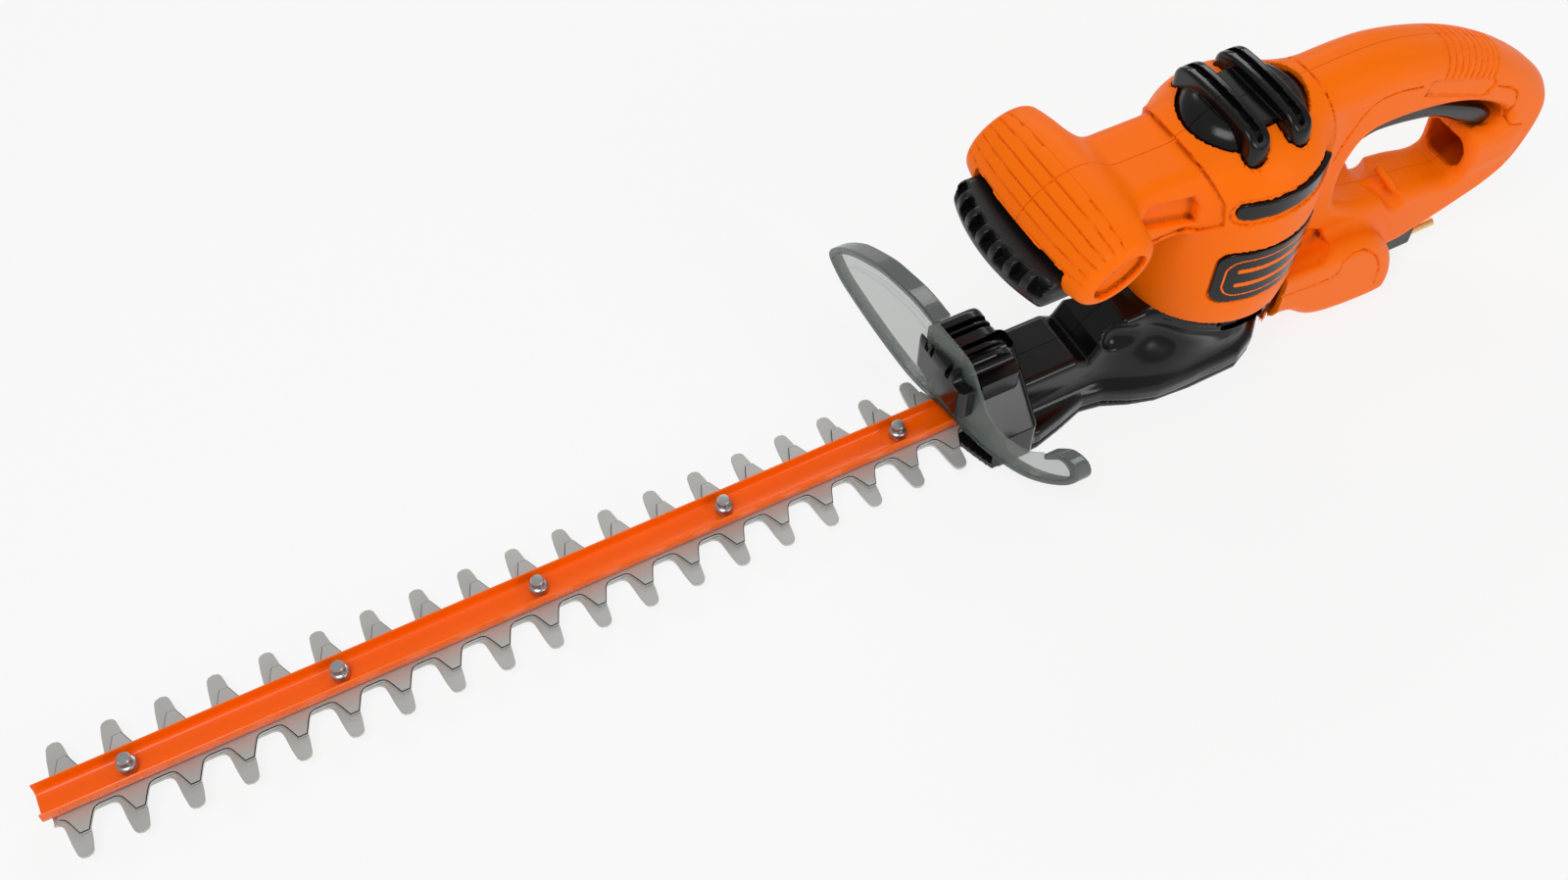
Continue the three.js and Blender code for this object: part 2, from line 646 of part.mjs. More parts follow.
// Cord loop: a flattened tube along X through the back of the hand gap.
const loopSection = (inset) => {
  const shape = new THREE.Shape();
  const halfWidth = LOOP.half - inset;
  const low = LOOP.z0 + inset;
  const high = LOOP.z1 - inset;
  const widest = 66;
  shape.moveTo(-halfWidth, widest);
  shape.quadraticCurveTo(-halfWidth, low, -halfWidth + 10, low);
  shape.lineTo(halfWidth - 10, low);
  shape.quadraticCurveTo(halfWidth, low, halfWidth, widest);
  shape.quadraticCurveTo(halfWidth - 2, high, halfWidth - 12, high);
  shape.lineTo(-halfWidth + 12, high);
  shape.quadraticCurveTo(-halfWidth + 2, high, -halfWidth, widest);
  return shape;
};

const housingShape = joinAll([
  barrel(0),
  arm(0),
  tBar(0),
  prism('y', handleSide(), -HANDLE_HALF, HANDLE_HALF, 7),
  prism('y', bulgeSide, -BULGE_HALF, BULGE_HALF, 8),
  prism('x', loopSection(0), LOOP.x0, LOOP.x1),
]);
const housingHollow = joinAll([
  barrel(WALL),
  arm(WALL),
  tBar(WALL),
  prism('y', handleSide(), -HANDLE_HALF, HANDLE_HALF, 7, WALL),
  prism('y', bulgeSide, -BULGE_HALF, BULGE_HALF, 8, WALL),
]);
const loopHole = prism('x', loopSection(LOOP.wall), LOOP.x0 - 1, 240);
const loopWall = prism('x', loopSection(0), LOOP.x0, LOOP.x1).subtract(loopHole);

// Lever under the T bar, and the room that it needs.
const leverSide = outline([
  [-142, 127], [-142.5, 137], [-139.5, 143], [-133, 145.5], [-129, 144], [-124, 134], [-108, 134],
  [-104, 128], [-105, 117], [-114, 112], [-130, 116], [-138, 121],
]);
const LEVER_HALF = 39;
const LEVER_PLAN = { x: -98, halfX: 44.5, halfY: 71 };
function leverShape(margin) {
  const plan = new THREE.Shape();
  plan.absellipse(LEVER_PLAN.x, 0, LEVER_PLAN.halfX + margin, LEVER_PLAN.halfY + margin, 0, 2 * Math.PI);
  const across = prism('y', leverSide, -LEVER_HALF, LEVER_HALF, margin ? 0 : 1, -margin);
  return across.intersect(prism('z', plan, 90, 150));
}
const leverRoom = leverShape(0.6);
const leverPocket = leverRoom.add(leverRoom.translate([0, 0, LEVER_TRAVEL + 0.6]));

// Trigger under the rear handle.
const triggerSide = new THREE.Shape();
triggerSide.moveTo(78, 124);
triggerSide.quadraticCurveTo(82, 117, 96, 118);
triggerSide.quadraticCurveTo(140, 116, 170, 93);
triggerSide.quadraticCurveTo(178, 90, 178, 98);
triggerSide.lineTo(172, 108);
triggerSide.quadraticCurveTo(150, 126, 116, 130.5);
triggerSide.lineTo(90, 136);
triggerSide.lineTo(80, 136);
const SLOT_SIDE = outline([[76, 100], [182, 88], [182, 112], [148, 127], [132, 130.5], [76, 130.5]]);
const triggerSlot = prism('y', SLOT_SIDE, -TRIGGER_HALF - 0.8, TRIGGER_HALF + 0.8);

const DOME = { x: -2.5, halfX: 31.5, halfY: 30, z: 150 };
const domeHole = (() => {
  const oval = new THREE.Shape();
  oval.absellipse(DOME.x, 0, DOME.halfX + GAP, DOME.halfY + GAP, 0, 2 * Math.PI);
  return prism('z', oval, 158, 190);
})();

// A piece of ring about the motor axis, from one angle to another. Zero points along -Y.
function ringSector(inner, outer, fromDeg, toDeg, z0, z1, sign) {
  const middle = -Math.PI / 2;
  const a0 = middle + THREE.MathUtils.degToRad(fromDeg);
  const a1 = middle + THREE.MathUtils.degToRad(toDeg);
  const shape = new THREE.Shape();
  shape.absarc(0, 0, outer, a0, a1, false);
  shape.absarc(0, 0, inner, a1, a0, true);
  const body = prism('z', shape, z0, z1);
  return sign < 0 ? body : body.mirror([0, 1, 0]);
}
const VENT = { from: -35, to: 44, z0: 136, z1: 148 };
const BADGE = { from: -36, to: 44, z0: 79, z1: 114 };

// The inlet block is let into the back of the lower body.
const INLET = { x0: 100, x1: 150, half: 13, z0: 4.5, z1: 22 };
const inletRoom = box(
  INLET.x0 - 1,
  INLET.x1,
  -INLET.half - GAP,
  INLET.half + GAP,
  INLET.z0 - GAP,
  INLET.z1 + GAP,
);

const SCREWS = [[56, 152], [198, 100], [84, 44]];
const SCREW_R = 1.6;
const PIN_R = 2;
const pinBosses = [-1, 1].map((sign) =>
  crossRod(4.6, 8.2, 15, 12, TRIGGER_PIVOT.x, TRIGGER_PIVOT.z).scale([1, sign, 1]),
);
const pinBore = crossRod(PIN_R + GAP, -13, 13, 12, TRIGGER_PIVOT.x, TRIGGER_PIVOT.z);
const bosses = SCREWS.map(([x, z]) => crossRod(4.4, -15, 15, 12, x, z));
const screwBores = SCREWS.map(([x, z]) => crossRod(SCREW_R + GAP, -12, 40, 12, x, z));
const headRooms = SCREWS.map(([x, z]) => crossRod(3.6, 10, 40, 12, x, z));

// Shallow oval dishes in both ends of the T bar.
const endDishes = [-1, 1].map((sign) => {
  const dish = new THREE.CylinderGeometry(9.5, 9.5, 4.4, 20);
  return asTBar(dish).translate([0, sign * T_BAR.halfY, 0]);
});

const underBarrel = turned([[0, 0], [60, 0], [60, BARREL_BOTTOM], [0, BARREL_BOTTOM]], 24);
const behindHousing = box(-60, 47, -60, 60, 0, BARREL_BOTTOM);
const housingShell = joinAll([housingShape.subtract(housingHollow), loopWall, ...bosses, ...pinBosses]);
const housing = cutAll(housingShell, [
  loopHole,
  leverPocket,
  triggerSlot,
  domeHole,
  underBarrel,
  behindHousing,
  inletRoom,
  ...endDishes,
  pinBore,
  ...screwBores,
  ...headRooms,
  ...SIDES.flatMap(([, sign]) => [
    ringSector(40, 50, VENT.from - 0.5, VENT.to + 0.5, VENT.z0 - GAP, VENT.z1 + GAP, sign),
    ringSector(44, 50, BADGE.from - 0.5, BADGE.to + 0.5, BADGE.z0 - GAP, BADGE.z1 + GAP, sign),
  ]),
]);
for (const [side, sign] of SIDES) {
  addPiece(`housing_${side}`, largest(sideOf(housing, sign)), COLOURS.orange);
}
SCREWS.forEach(([x, z], i) => {
  const screw = crossRod(SCREW_R, -11, 12, 10, x, z).add(crossRod(3.2, 10.6, 13, 12, x, z));
  addPiece(`housing_screw_${i + 1}`, screw, COLOURS.steel);
});

// ---- vents and badges ---------------------------------------------------------------------------
// Low dome with two ribs across it that hook over its sides.
const domeOval = new THREE.Shape();
domeOval.absellipse(DOME.x, 0, DOME.halfX, DOME.halfY, 0, 2 * Math.PI);
const domeBall = (inset) => {
  const geometry = new THREE.SphereGeometry(1, 24, 12);
  geometry.scale(44 - inset, 42 - inset, 30 - inset);
  geometry.translate(DOME.x, 0, DOME.z - 3);
  return solid(geometry);
};
const ribSide = outline([
  [-32, 161], [-33, 169], [-28, 175], [0, 180.5], [28, 175], [33, 169], [32, 161], [27, 161],
  [26, 169], [0, 173], [-26, 169], [-27, 161],
]);
const ribs = [-15, 9].map((x) => prism('x', ribSide, x - 5, x + 5));
const domeShell = prism('z', domeOval, 160, 190).intersect(domeBall(0)).subtract(domeBall(WALL));
const cap = joinAll([domeShell, ...ribs]).subtract(barrel(-GAP).subtract(prism('z', domeOval, 150, 190)));
for (const [side, sign] of SIDES) {
  addPiece(`vent_cap_${side}`, largest(sideOf(cap, sign)), COLOURS.black);
}
for (const [side, sign] of SIDES) {
  const slat = ringSector(41.5, 45.4, VENT.from, VENT.to, VENT.z0, VENT.z1, sign);
  addPiece(`side_vent_${side}`, slat, COLOURS.black);
  const badge = ringSector(44.4, 46.6, BADGE.from, BADGE.to, BADGE.z0, BADGE.z1, sign);
  addPiece(`badge_${side}`, badge, COLOURS.black);
}

// ---- front lever and its switch -----------------------------------------------------------------
addPiece('front_lever', leverShape(0), COLOURS.black);

// A push switch with a plunger under it and a spring round the plunger.
function pushSwitch(x, foot, body, height) {
  const shell = box(x - 10, x + 10, -8, 8, body, body + height);
  const bore = rod(2.9, body - 1, body + height - 3, 12, x, 0);
  const plunger = turned(
    [[0, foot], [5.2, foot], [5.2, foot + 1.4], [2.5, foot + 1.4], [2.5, body + 2.5], [0, body + 2.5]],
    12,
    x,
    0,
  );
  const spring = coil(x, 0, foot + 1.4 + GAP, body - GAP, 3.9, 0.5, 3);
  return { shell: shell.subtract(bore), plunger, spring };
}
const frontSwitch = pushSwitch(FRONT_SWITCH_X, 134.4, 143, 9.5);
addPiece('front_switch', frontSwitch.shell, COLOURS.dark);
addPiece('front_plunger', frontSwitch.plunger, COLOURS.cream);
addPiece('front_spring', frontSwitch.spring, COLOURS.steel);

// ---- rear trigger and its switch ----------------------------------------------------------------
const pinHole = crossRod(PIN_R + GAP, -20, 20, 14, TRIGGER_PIVOT.x, TRIGGER_PIVOT.z);
addPiece(
  'rear_trigger',
  prism('y', triggerSide, -TRIGGER_HALF, TRIGGER_HALF, 1.5).subtract(pinHole),
  COLOURS.black,
);
addPiece('trigger_pin', crossRod(PIN_R, -12.6, 12.6, 14, TRIGGER_PIVOT.x, TRIGGER_PIVOT.z), COLOURS.steel);
const rearSwitch = pushSwitch(REAR_SWITCH_X, 130.2, 139.5, 11.5);
addPiece('rear_switch', rearSwitch.shell, COLOURS.dark);
addPiece('rear_plunger', rearSwitch.plunger, COLOURS.cream);
addPiece('trigger_spring', rearSwitch.spring, COLOURS.steel);

// ---- mains inlet --------------------------------------------------------------------------------
const PRONG_R = 2.4;
const PRONG_Y = 9.5;
const PRONG_Z = 12.5;
const prong = (r, x0, x1, sign) => longRod(r, x0, x1, 12, sign * PRONG_Y, PRONG_Z);
const prongBores = [-1, 1].map((sign) => prong(PRONG_R + GAP, INLET.x1 - 12, INLET.x1 + 5, sign));
const inletBody = prism(
  'x',
  roundedRect(-INLET.half, INLET.half, INLET.z0, INLET.z1, 4),
  INLET.x0,
  INLET.x1,
);
addPiece('plug_inlet', cutAll(inletBody, prongBores), COLOURS.black);
[-1, 1].forEach((sign, i) => {
  addPiece(`prong_${i + 1}`, prong(PRONG_R, INLET.x1 - 11.5, INLET.x1 + 18, sign), COLOURS.brass);
});

export default trimmer;
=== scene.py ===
# Looks of the hedge trimmer: moulded shells, guard, blades, vents and levers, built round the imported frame.
# Shapes are worked out in millimetres and turned into metres when a mesh is made.
import functools
import json
import math

import bmesh
import bpy
import numpy as np
from mathutils import Matrix, Vector


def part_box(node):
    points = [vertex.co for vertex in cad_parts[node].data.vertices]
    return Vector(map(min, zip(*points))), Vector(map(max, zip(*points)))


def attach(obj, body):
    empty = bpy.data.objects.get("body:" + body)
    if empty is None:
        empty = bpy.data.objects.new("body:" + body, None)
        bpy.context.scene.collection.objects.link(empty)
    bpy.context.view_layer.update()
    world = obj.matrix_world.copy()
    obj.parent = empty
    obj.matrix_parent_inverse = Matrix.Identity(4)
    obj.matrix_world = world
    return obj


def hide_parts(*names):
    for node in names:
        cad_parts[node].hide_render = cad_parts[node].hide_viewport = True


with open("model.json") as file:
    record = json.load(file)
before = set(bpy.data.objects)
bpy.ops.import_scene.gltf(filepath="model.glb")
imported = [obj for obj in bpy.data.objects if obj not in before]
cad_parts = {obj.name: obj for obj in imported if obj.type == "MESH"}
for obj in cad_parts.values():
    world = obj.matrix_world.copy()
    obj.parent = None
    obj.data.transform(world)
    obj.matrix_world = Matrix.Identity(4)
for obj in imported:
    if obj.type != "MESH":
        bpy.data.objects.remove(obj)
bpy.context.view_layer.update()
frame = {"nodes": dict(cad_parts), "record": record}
NODES = frame["nodes"]
MM = 0.001
SIDES = (("left", -1), ("right", 1))
# Each moulded half stops this far from the middle plane.
SEAM = 0.15
# Further from a surface than any detail on it reaches.
FAR = 9


def node_box(name):
    """Lowest and highest corner of a CAD node, in millimetres."""
    low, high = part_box(name)
    return np.array(low) / MM, np.array(high) / MM


# ---- distance fields: negative inside, in millimetres ---------------------------------------------


def lowest(fields):
    return functools.reduce(np.minimum, fields)


def smooth_union(a, b, r):
    h = np.clip(0.5 + 0.5 * (b - a) / r, 0, 1)
    return b + (a - b) * h - r * h * (1 - h)


def smooth_cut(a, tool, r):
    return -smooth_union(-a, tool, r)


def smooth_meet(a, b, r):
    return -smooth_union(-a, -b, r)


def rounded(a, b, r):
    """Where two fields are both negative, with the edge between them rounded to radius r."""
    p, q = a + r, b + r
    return np.hypot(np.maximum(p, 0), np.maximum(q, 0)) + np.minimum(np.maximum(p, q), 0) - r


def rounded_box(x, y, z, middle, half, r):
    p = np.abs(x - middle[0]) - half[0] + r
    q = np.abs(y - middle[1]) - half[1] + r
    s = np.abs(z - middle[2]) - half[2] + r
    outside = np.sqrt(np.maximum(p, 0) ** 2 + np.maximum(q, 0) ** 2 + np.maximum(s, 0) ** 2)
    return outside + np.minimum(np.maximum(p, np.maximum(q, s)), 0) - r


def only_where(d, inside):
    """The field inside a region, and a field that reaches nothing outside it."""
    return d + np.where(inside, 0, FAR)


def oval(u, v, a, b):
    """Distance to an ellipse, near enough close to its edge."""
    k = np.hypot(u / a, v / b) + 1e-9
    g = np.hypot(u / a**2, v / b**2) + 1e-9
    return k * (k - 1) / g


def capsule(x, y, z, start, end, r):
    a, b = np.array(start, float), np.array(end, float)
    d = b - a
    t = ((x - a[0]) * d[0] + (y - a[1]) * d[1] + (z - a[2]) * d[2]) / (d @ d)
    t = np.clip(t, 0, 1)
    return np.sqrt((x - a[0] - t * d[0]) ** 2 + (y - a[1] - t * d[1]) ** 2 + (z - a[2] - t * d[2]) ** 2) - r


def spline(points, closed=True, per=6):
    """Catmull-Rom curve through the points."""
    p = np.array(points, float)
    if closed:
        p = np.vstack([p[-1:], p, p[:2]])
    else:
        p = np.vstack([2 * p[0] - p[1], p, 2 * p[-1] - p[-2]])
    t = np.linspace(0, 1, per, endpoint=False)[:, None]
    runs = []
    for a, b, c, d in zip(p, p[1:], p[2:], p[3:]):
        square = 2 * a - 5 * b + 4 * c - d
        cube = 3 * b - a - 3 * c + d
        runs.append(0.5 * (2 * b + (c - a) * t + square * t**2 + cube * t**3))
    made = np.vstack(runs)
    return made if closed else np.vstack([made, p[-2:-1]])


class Plan:
    """Distance to a flat outline or an open line, worked out once on a grid and then looked up."""

    def __init__(self, points, closed=True, curved=True, cell=0.8, margin=24):
        pts = spline(points, closed) if curved else np.array(points, float)
        self.low = pts.min(0) - margin
        self.cell = cell
        count = np.ceil((pts.max(0) + margin - self.low) / cell).astype(int) + 1
        u = (self.low[0] + cell * np.arange(count[0]))[:, None]
        v = (self.low[1] + cell * np.arange(count[1]))[None, :]
        best = np.full(count, 1e9)
        inside = np.zeros(count, bool)
        ends = np.roll(pts, -1, 0) if closed else pts[1:]
        for (u0, v0), (u1, v1) in zip(pts, ends):
            du, dv = u1 - u0, v1 - v0
            t = np.clip(((u - u0) * du + (v - v0) * dv) / (du * du + dv * dv + 1e-12), 0, 1)
            best = np.minimum(best, (u - u0 - t * du) ** 2 + (v - v0 - t * dv) ** 2)
            if v0 != v1:
                inside ^= ((v0 > v) != (v1 > v)) & (u < u0 + du * (v - v0) / dv)
        self.grid = np.sqrt(best) * np.where(inside & closed, -1, 1)

    def __call__(self, u, v):
        n, m = self.grid.shape
        a = np.clip((u - self.low[0]) / self.cell, 0, n - 1.001)
        b = np.clip((v - self.low[1]) / self.cell, 0, m - 1.001)
        i, j = a.astype(int), b.astype(int)
        a, b = a - i, b - j
        g = self.grid
        low = g[i, j] * (1 - a) + g[i + 1, j] * a
        high = g[i, j + 1] * (1 - a) + g[i + 1, j + 1] * a
        return low * (1 - b) + high * b


# ---- meshes from fields ---------------------------------------------------------------------------


def slope(field, p, h=0.15):
    """Gradient of a field at the points."""
    parts = []
    for axis in range(3):
        d = np.zeros(3)
        d[axis] = h
        hi, lo = p + d, p - d
        parts.append((field(hi[:, 0], hi[:, 1], hi[:, 2]) - field(lo[:, 0], lo[:, 1], lo[:, 2])) / (2 * h))
    return np.stack(parts, 1)


def settle(field, p, reach, cap_y, rounds=3):
    """Moves points onto the field's surface. Those on the flat seam face stay on it."""
    on_cap = np.abs(p[:, 1] - cap_y) < 1e-6 if cap_y is not None else np.zeros(len(p), bool)
    for _ in range(rounds):
        g = slope(field, p)
        g[on_cap, 1] = 0
        value = field(p[:, 0], p[:, 1], p[:, 2])
        size = np.maximum((g**2).sum(1), 0.05)
        move = -g * (value / size)[:, None]
        move[on_cap & (value < -reach)] = 0
        length = np.linalg.norm(move, axis=1)[:, None]
        p = p + move * np.minimum(1, reach / np.maximum(length, 1e-9))
    return p


def surface_net(field, low, high, step, cap_y=None):
    """Triangles of the surface where the field is zero. With cap_y the body ends in a flat face there."""
    xs = np.arange(low[0], high[0] + step, step)
    zs = np.arange(low[2], high[2] + step, step)
    if cap_y is None:
        ys = np.arange(low[1], high[1] + step, step)
    else:
        ys = (cap_y - step * np.arange(math.ceil((cap_y - low[1]) / step) + 1))[::-1]
    value = field(xs[:, None, None], ys[None, :, None], zs[None, None, :]).astype(np.float32)
    if cap_y is not None:
        value = np.concatenate([value, np.full_like(value[:, :1], step)], 1)
        ys = np.append(ys, cap_y + step)
    neg = value < 0
    corners = [(i, j, k) for i in (0, 1) for j in (0, 1) for k in (0, 1)]
    n = np.array(value.shape) - 1
    count = sum(neg[i : n[0] + i, j : n[1] + j, k : n[2] + k].astype(np.int8) for i, j, k in corners)
    cells = np.argwhere((count > 0) & (count < 8))
    index = np.full(n, -1, np.int64)
    index[tuple(cells.T)] = np.arange(len(cells))
    total = np.zeros((len(cells), 3))
    hits = np.zeros(len(cells))
    for a in corners:
        for axis in range(3):
            if a[axis]:
                continue
            b = list(a)
            b[axis] = 1
            va = value[tuple((cells + a).T)]
            vb = value[tuple((cells + b).T)]
            cross = (va < 0) != (vb < 0)
            t = np.where(cross, va / np.where(cross, va - vb, 1), 0)
            where = np.tile(np.array(a, float), (len(cells), 1))
            where[:, axis] += t
            total += where * cross[:, None]
            hits += cross
    at = cells + total / hits[:, None]
    p = np.stack([low[0] + step * at[:, 0], ys[0] + step * at[:, 1], low[2] + step * at[:, 2]], 1)
    if cap_y is not None:
        p[cells[:, 1] == n[1] - 1, 1] = cap_y
    quads = []
    for axis in range(3):
        first = np.take(neg, range(n[axis]), axis)
        second = np.take(neg, range(1, n[axis] + 1), axis)
        edges = np.argwhere(first != second)
        b, c = (axis + 1) % 3, (axis + 2) % 3
        keep = (edges[:, b] > 0) & (edges[:, c] > 0) & (edges[:, b] < n[b]) & (edges[:, c] < n[c])
        edges = edges[keep]
        back_b, back_c = np.zeros(3, int), np.zeros(3, int)
        back_b[b], back_c[c] = 1, 1
        ring = [edges - back_b - back_c, edges - back_c, edges, edges - back_b]
        quad = np.stack([index[tuple(r.T)] for r in ring], 1)
        flip = second[tuple(edges.T)]
        quad[flip] = quad[flip][:, ::-1]
        quads.append(quad)
    quads = np.vstack(quads)
    one = np.linalg.norm(p[quads[:, 0]] - p[quads[:, 2]], axis=1)
    two = np.linalg.norm(p[quads[:, 1]] - p[quads[:, 3]], axis=1)
    short = (one <= two)[:, None]
    first = np.where(short, quads[:, [0, 1, 2]], quads[:, [0, 1, 3]])
    second = np.where(short, quads[:, [0, 2, 3]], quads[:, [1, 2, 3]])
    return p, np.vstack([first, second])


def refine(p, tris, near, longest):
    """Splits every edge longer than the limit whose middle is near a fine detail."""
    pairs = np.sort(np.vstack([tris[:, [0, 1]], tris[:, [1, 2]], tris[:, [2, 0]]]), 1)
    edges, which = np.unique(pairs, axis=0, return_inverse=True)
    which = which.reshape(3, -1).T
    middle = (p[edges[:, 0]] + p[edges[:, 1]]) / 2
    split = np.linalg.norm(p[edges[:, 0]] - p[edges[:, 1]], axis=1) > longest
    split[split] = near(*middle[split].T)
    number = np.full(len(edges), -1)
    number[split] = len(p) + np.arange(split.sum())
    mids = number[which]
    made = [tris[(mids < 0).all(1)]]
    for turn in range(3):
        order = [(turn + i) % 3 for i in range(3)]
        a, b, c = tris[:, order].T
        ab, bc, ca = mids[:, order].T
        one = (ab >= 0) & (bc < 0) & (ca < 0)
        made.append(np.stack([a, ab, c], 1)[one])
        made.append(np.stack([ab, b, c], 1)[one])
        two = (ab >= 0) & (bc >= 0) & (ca < 0)
        made.append(np.stack([ab, b, bc], 1)[two])
        made.append(np.stack([a, ab, bc], 1)[two])
        made.append(np.stack([a, bc, c], 1)[two])
    a, b, c = tris.T
    ab, bc, ca = mids.T
    every = (mids >= 0).all(1)
    for corner in ((a, ab, ca), (ab, b, bc), (ca, bc, c), (ab, bc, ca)):
        made.append(np.stack(corner, 1)[every])
    return np.vstack([p, middle[split]]), np.vstack(made)


def make_mesh(name, p, tris, normals=None):
    mesh = bpy.data.meshes.new(name)
    mesh.vertices.add(len(p))
    mesh.vertices.foreach_set("co", (p * MM).astype(np.float32).ravel())
    mesh.loops.add(tris.size)
    mesh.loops.foreach_set("vertex_index", tris.astype(np.int32).ravel())
    mesh.polygons.add(len(tris))
    mesh.polygons.foreach_set("loop_start", np.arange(0, tris.size, 3, dtype=np.int32))
    mesh.update(calc_edges=True)
    mesh.polygons.foreach_set("use_smooth", np.ones(len(tris), bool))
    if normals is not None:
        mesh.normals_split_custom_set(normals.reshape(-1, 3).tolist())
    made = bpy.data.objects.new(name, mesh)
    bpy.context.scene.collection.objects.link(made)
    return made


def shape(name, field, low, high, step, side=None, near=None, fine=0.4):
    """A piece whose surface is where the field is zero. With a side it is one half, cut flat at the seam."""
    cap_y = None if side is None else -SEAM
    here = field if side in (None, -1) else lambda x, y, z: field(x, -y, z)
    p, tris = surface_net(here, low, high, step, cap_y)
    p = settle(here, p, step / 2, cap_y)
    if near:
        while step > fine:
            step /= 2
            p, tris = refine(p, tris, near, step * 1.05)
            p = settle(here, p, step / 2, cap_y, 2)
    corner = p[tris]
    face = np.cross(corner[:, 1] - corner[:, 0], corner[:, 2] - corner[:, 0])
    size = np.linalg.norm(face, axis=1)
    tris, face = tris[size > 1e-7], face[size > 1e-7] / size[size > 1e-7][:, None]
    grad = slope(here, p, 0.12)
    grad /= np.maximum(np.linalg.norm(grad, axis=1), 1e-9)[:, None]
    normals = grad[tris]
    flat = (normals * face[:, None, :]).sum(2) < 0.75
    normals = np.where(flat[:, :, None], face[:, None, :], normals)
    if side == 1:
        p = p * (1, -1, 1)
        tris = tris[:, ::-1]
        normals = normals[:, ::-1] * (1, -1, 1)
    return make_mesh(name, p, tris, normals)


def press(d, mark, depth, width):
    """A shallow groove of the given half width where the mark is zero."""
    return d + depth * np.clip(1 - (mark / width) ** 2, 0, 1)


def pocket(d, edge, depth, soft=0.0):
    """A flat-bottomed pocket inside the edge, its rim softened where asked."""
    if soft:
        return smooth_meet(d, smooth_union(-edge, d + depth, soft), soft)
    return np.maximum(d, np.minimum(-edge, d + depth))


# ---- the orange body ------------------------------------------------------------------------------

SHELL_WALL = 3.4
BARREL_R = 45
BARREL_BOTTOM = 58
BARREL_TOP = 169.5
BARREL_FLANK = 42
SHOULDER = 28
T_BAR = dict(x=-103.5, z=150, long=26, short=18, half_y=52, tilt=math.radians(32))
GRIP_GROOVES = 9
BAR_GROOVES = 6
BADGE_MIDDLE = (3.2, 96.5)
BADGE_HALF = (31.4, 17.5)
BADGE_CORNER = 8
BADGE_LEAN = 0.07
BADGE_FRAME = -5.0
BADGE_SEAT = 1.0
STRIPE_START = (-22, 0, 140.6)
STRIPE_END = (30, 0, 147.5)
STRIPE_HALF = 5.2
STRIPE_SEAT = 3.2
LEVER_MIDDLE = -98
LEVER_HALF = (44.5, 71)
LEVER_BACK = -104.3
LEVER_MOUTH = 130
LEVER_CEILING = 149.3
LEVER_GAP = 0.6
CAP_MIDDLE = -2.5
CAP_HALF = (31.5, 30)
CAP_GAP = 0.3
CAP_FLOOR = 158
RIBS = (-15, 9)
RIB_REACH = 27
TRIGGER_HALF = 10
TRIGGER_GAP = 0.5
TRIGGER_PIVOT = (84, 131)
TRIGGER_PULLS = (0, 1.4, 2.8, 4.2)

# Side outlines, as X and Z.
HANDLE_SIDE = Plan([
    (0, 158), (20, 171), (60, 174.6), (90, 172), (129, 159.7), (165, 140.5), (198, 116), (213, 98), (215, 80),
    (206, 56), (192, 42), (172, 33), (145, 24), (118, 20), (0, 20),
])
HAND_GAP = Plan([
    (66, 94), (70, 82), (78, 76), (90, 70.5), (112, 66), (134, 62.5), (161, 58.5), (161, 86), (176, 87.5),
    (182, 92), (176, 101), (158, 112.5), (134, 122.5), (108, 128.5), (84, 130.5), (72, 127), (66, 113),
])
BULGE_SIDE = Plan([
    (18, 58), (60, 61), (92, 57), (108, 44), (116, 30), (119, 14), (113, 4.5), (84, 5), (62, 10), (45, 22),
    (25, 30),
])
TRIGGER_SIDE = Plan([
    (67, 129), (91, 130), (112, 127), (133, 118), (160, 105), (172, 98), (178, 91), (171, 86), (160, 91),
    (134, 107.5), (112, 114), (90, 117), (76, 115),
])
STEP_SIDE = Plan([
    (-42, 190), (-40, 164), (-31, 146), (-29, 131), (-37, 125), (-69, 128), (-69, 60), (-90, 60), (-130, 60),
    (-130, 190),
], curved=False, margin=60)
THUMB_PANEL = Plan([(102.9, 143), (105.4, 152.5), (155, 132.4), (157.7, 127.9), (152.6, 121.4)], curved=False)
WEB_POCKET = Plan([(36, 80), (64, 66), (66, 60), (58, 56), (26, 58)], curved=False)
ARM_POCKET = Plan([
    (-72.8, 147.7), (-69.8, 154.2), (-44.3, 149.7), (-40.2, 142.4), (-39.2, 130.3), (-71.7, 140),
], curved=False)

# Lines moulded into the sides, as X and Z.
BACK_LINE = Plan([
    (33, 180), (41, 151.5), (44.4, 138), (45.8, 115), (48.6, 101), (48, 80), (44, 66),
], closed=False)
GRIP_LINE = Plan([(52, 120), (57.6, 138), (66.6, 152.7), (80.5, 155.2), (99.7, 151)], closed=False)
HOOK_LINE = Plan([(159.3, 125.8), (173, 118), (179.8, 109.5), (183.8, 89), (194.9, 83.5)], closed=False)
BULGE_LINE = Plan([
    (27.8, 45), (67.4, 42), (71.8, 52), (83, 54.5), (93.8, 47), (102.5, 33), (105, 17),
], closed=False)


def tilted(x, z):
    """Position across the front bar's oval: along its long axis, then its short one."""
    c, s = math.cos(T_BAR["tilt"]), math.sin(T_BAR["tilt"])
    dx, dz = x - T_BAR["x"], z - T_BAR["z"]
    return c * dx + s * dz, c * dz - s * dx


def bar_taper(y):
    return 1 - 0.24 * (np.abs(y) / T_BAR["half_y"]) ** 2.6


def bar_field(x, y, z):
    """The front bar: an oval bar, thinner to its ends, which are dished."""
    u, v = tilted(x, z)
    s = bar_taper(y)
    ring = oval(u, v, T_BAR["long"] * s, T_BAR["short"] * s)
    d = rounded(ring * 0.95, np.abs(y) - T_BAR["half_y"] + 0.3, 5)
    dish = np.maximum(ring + 6, T_BAR["half_y"] - 3.5 - np.abs(y))
    return smooth_cut(d, dish, 1.2)


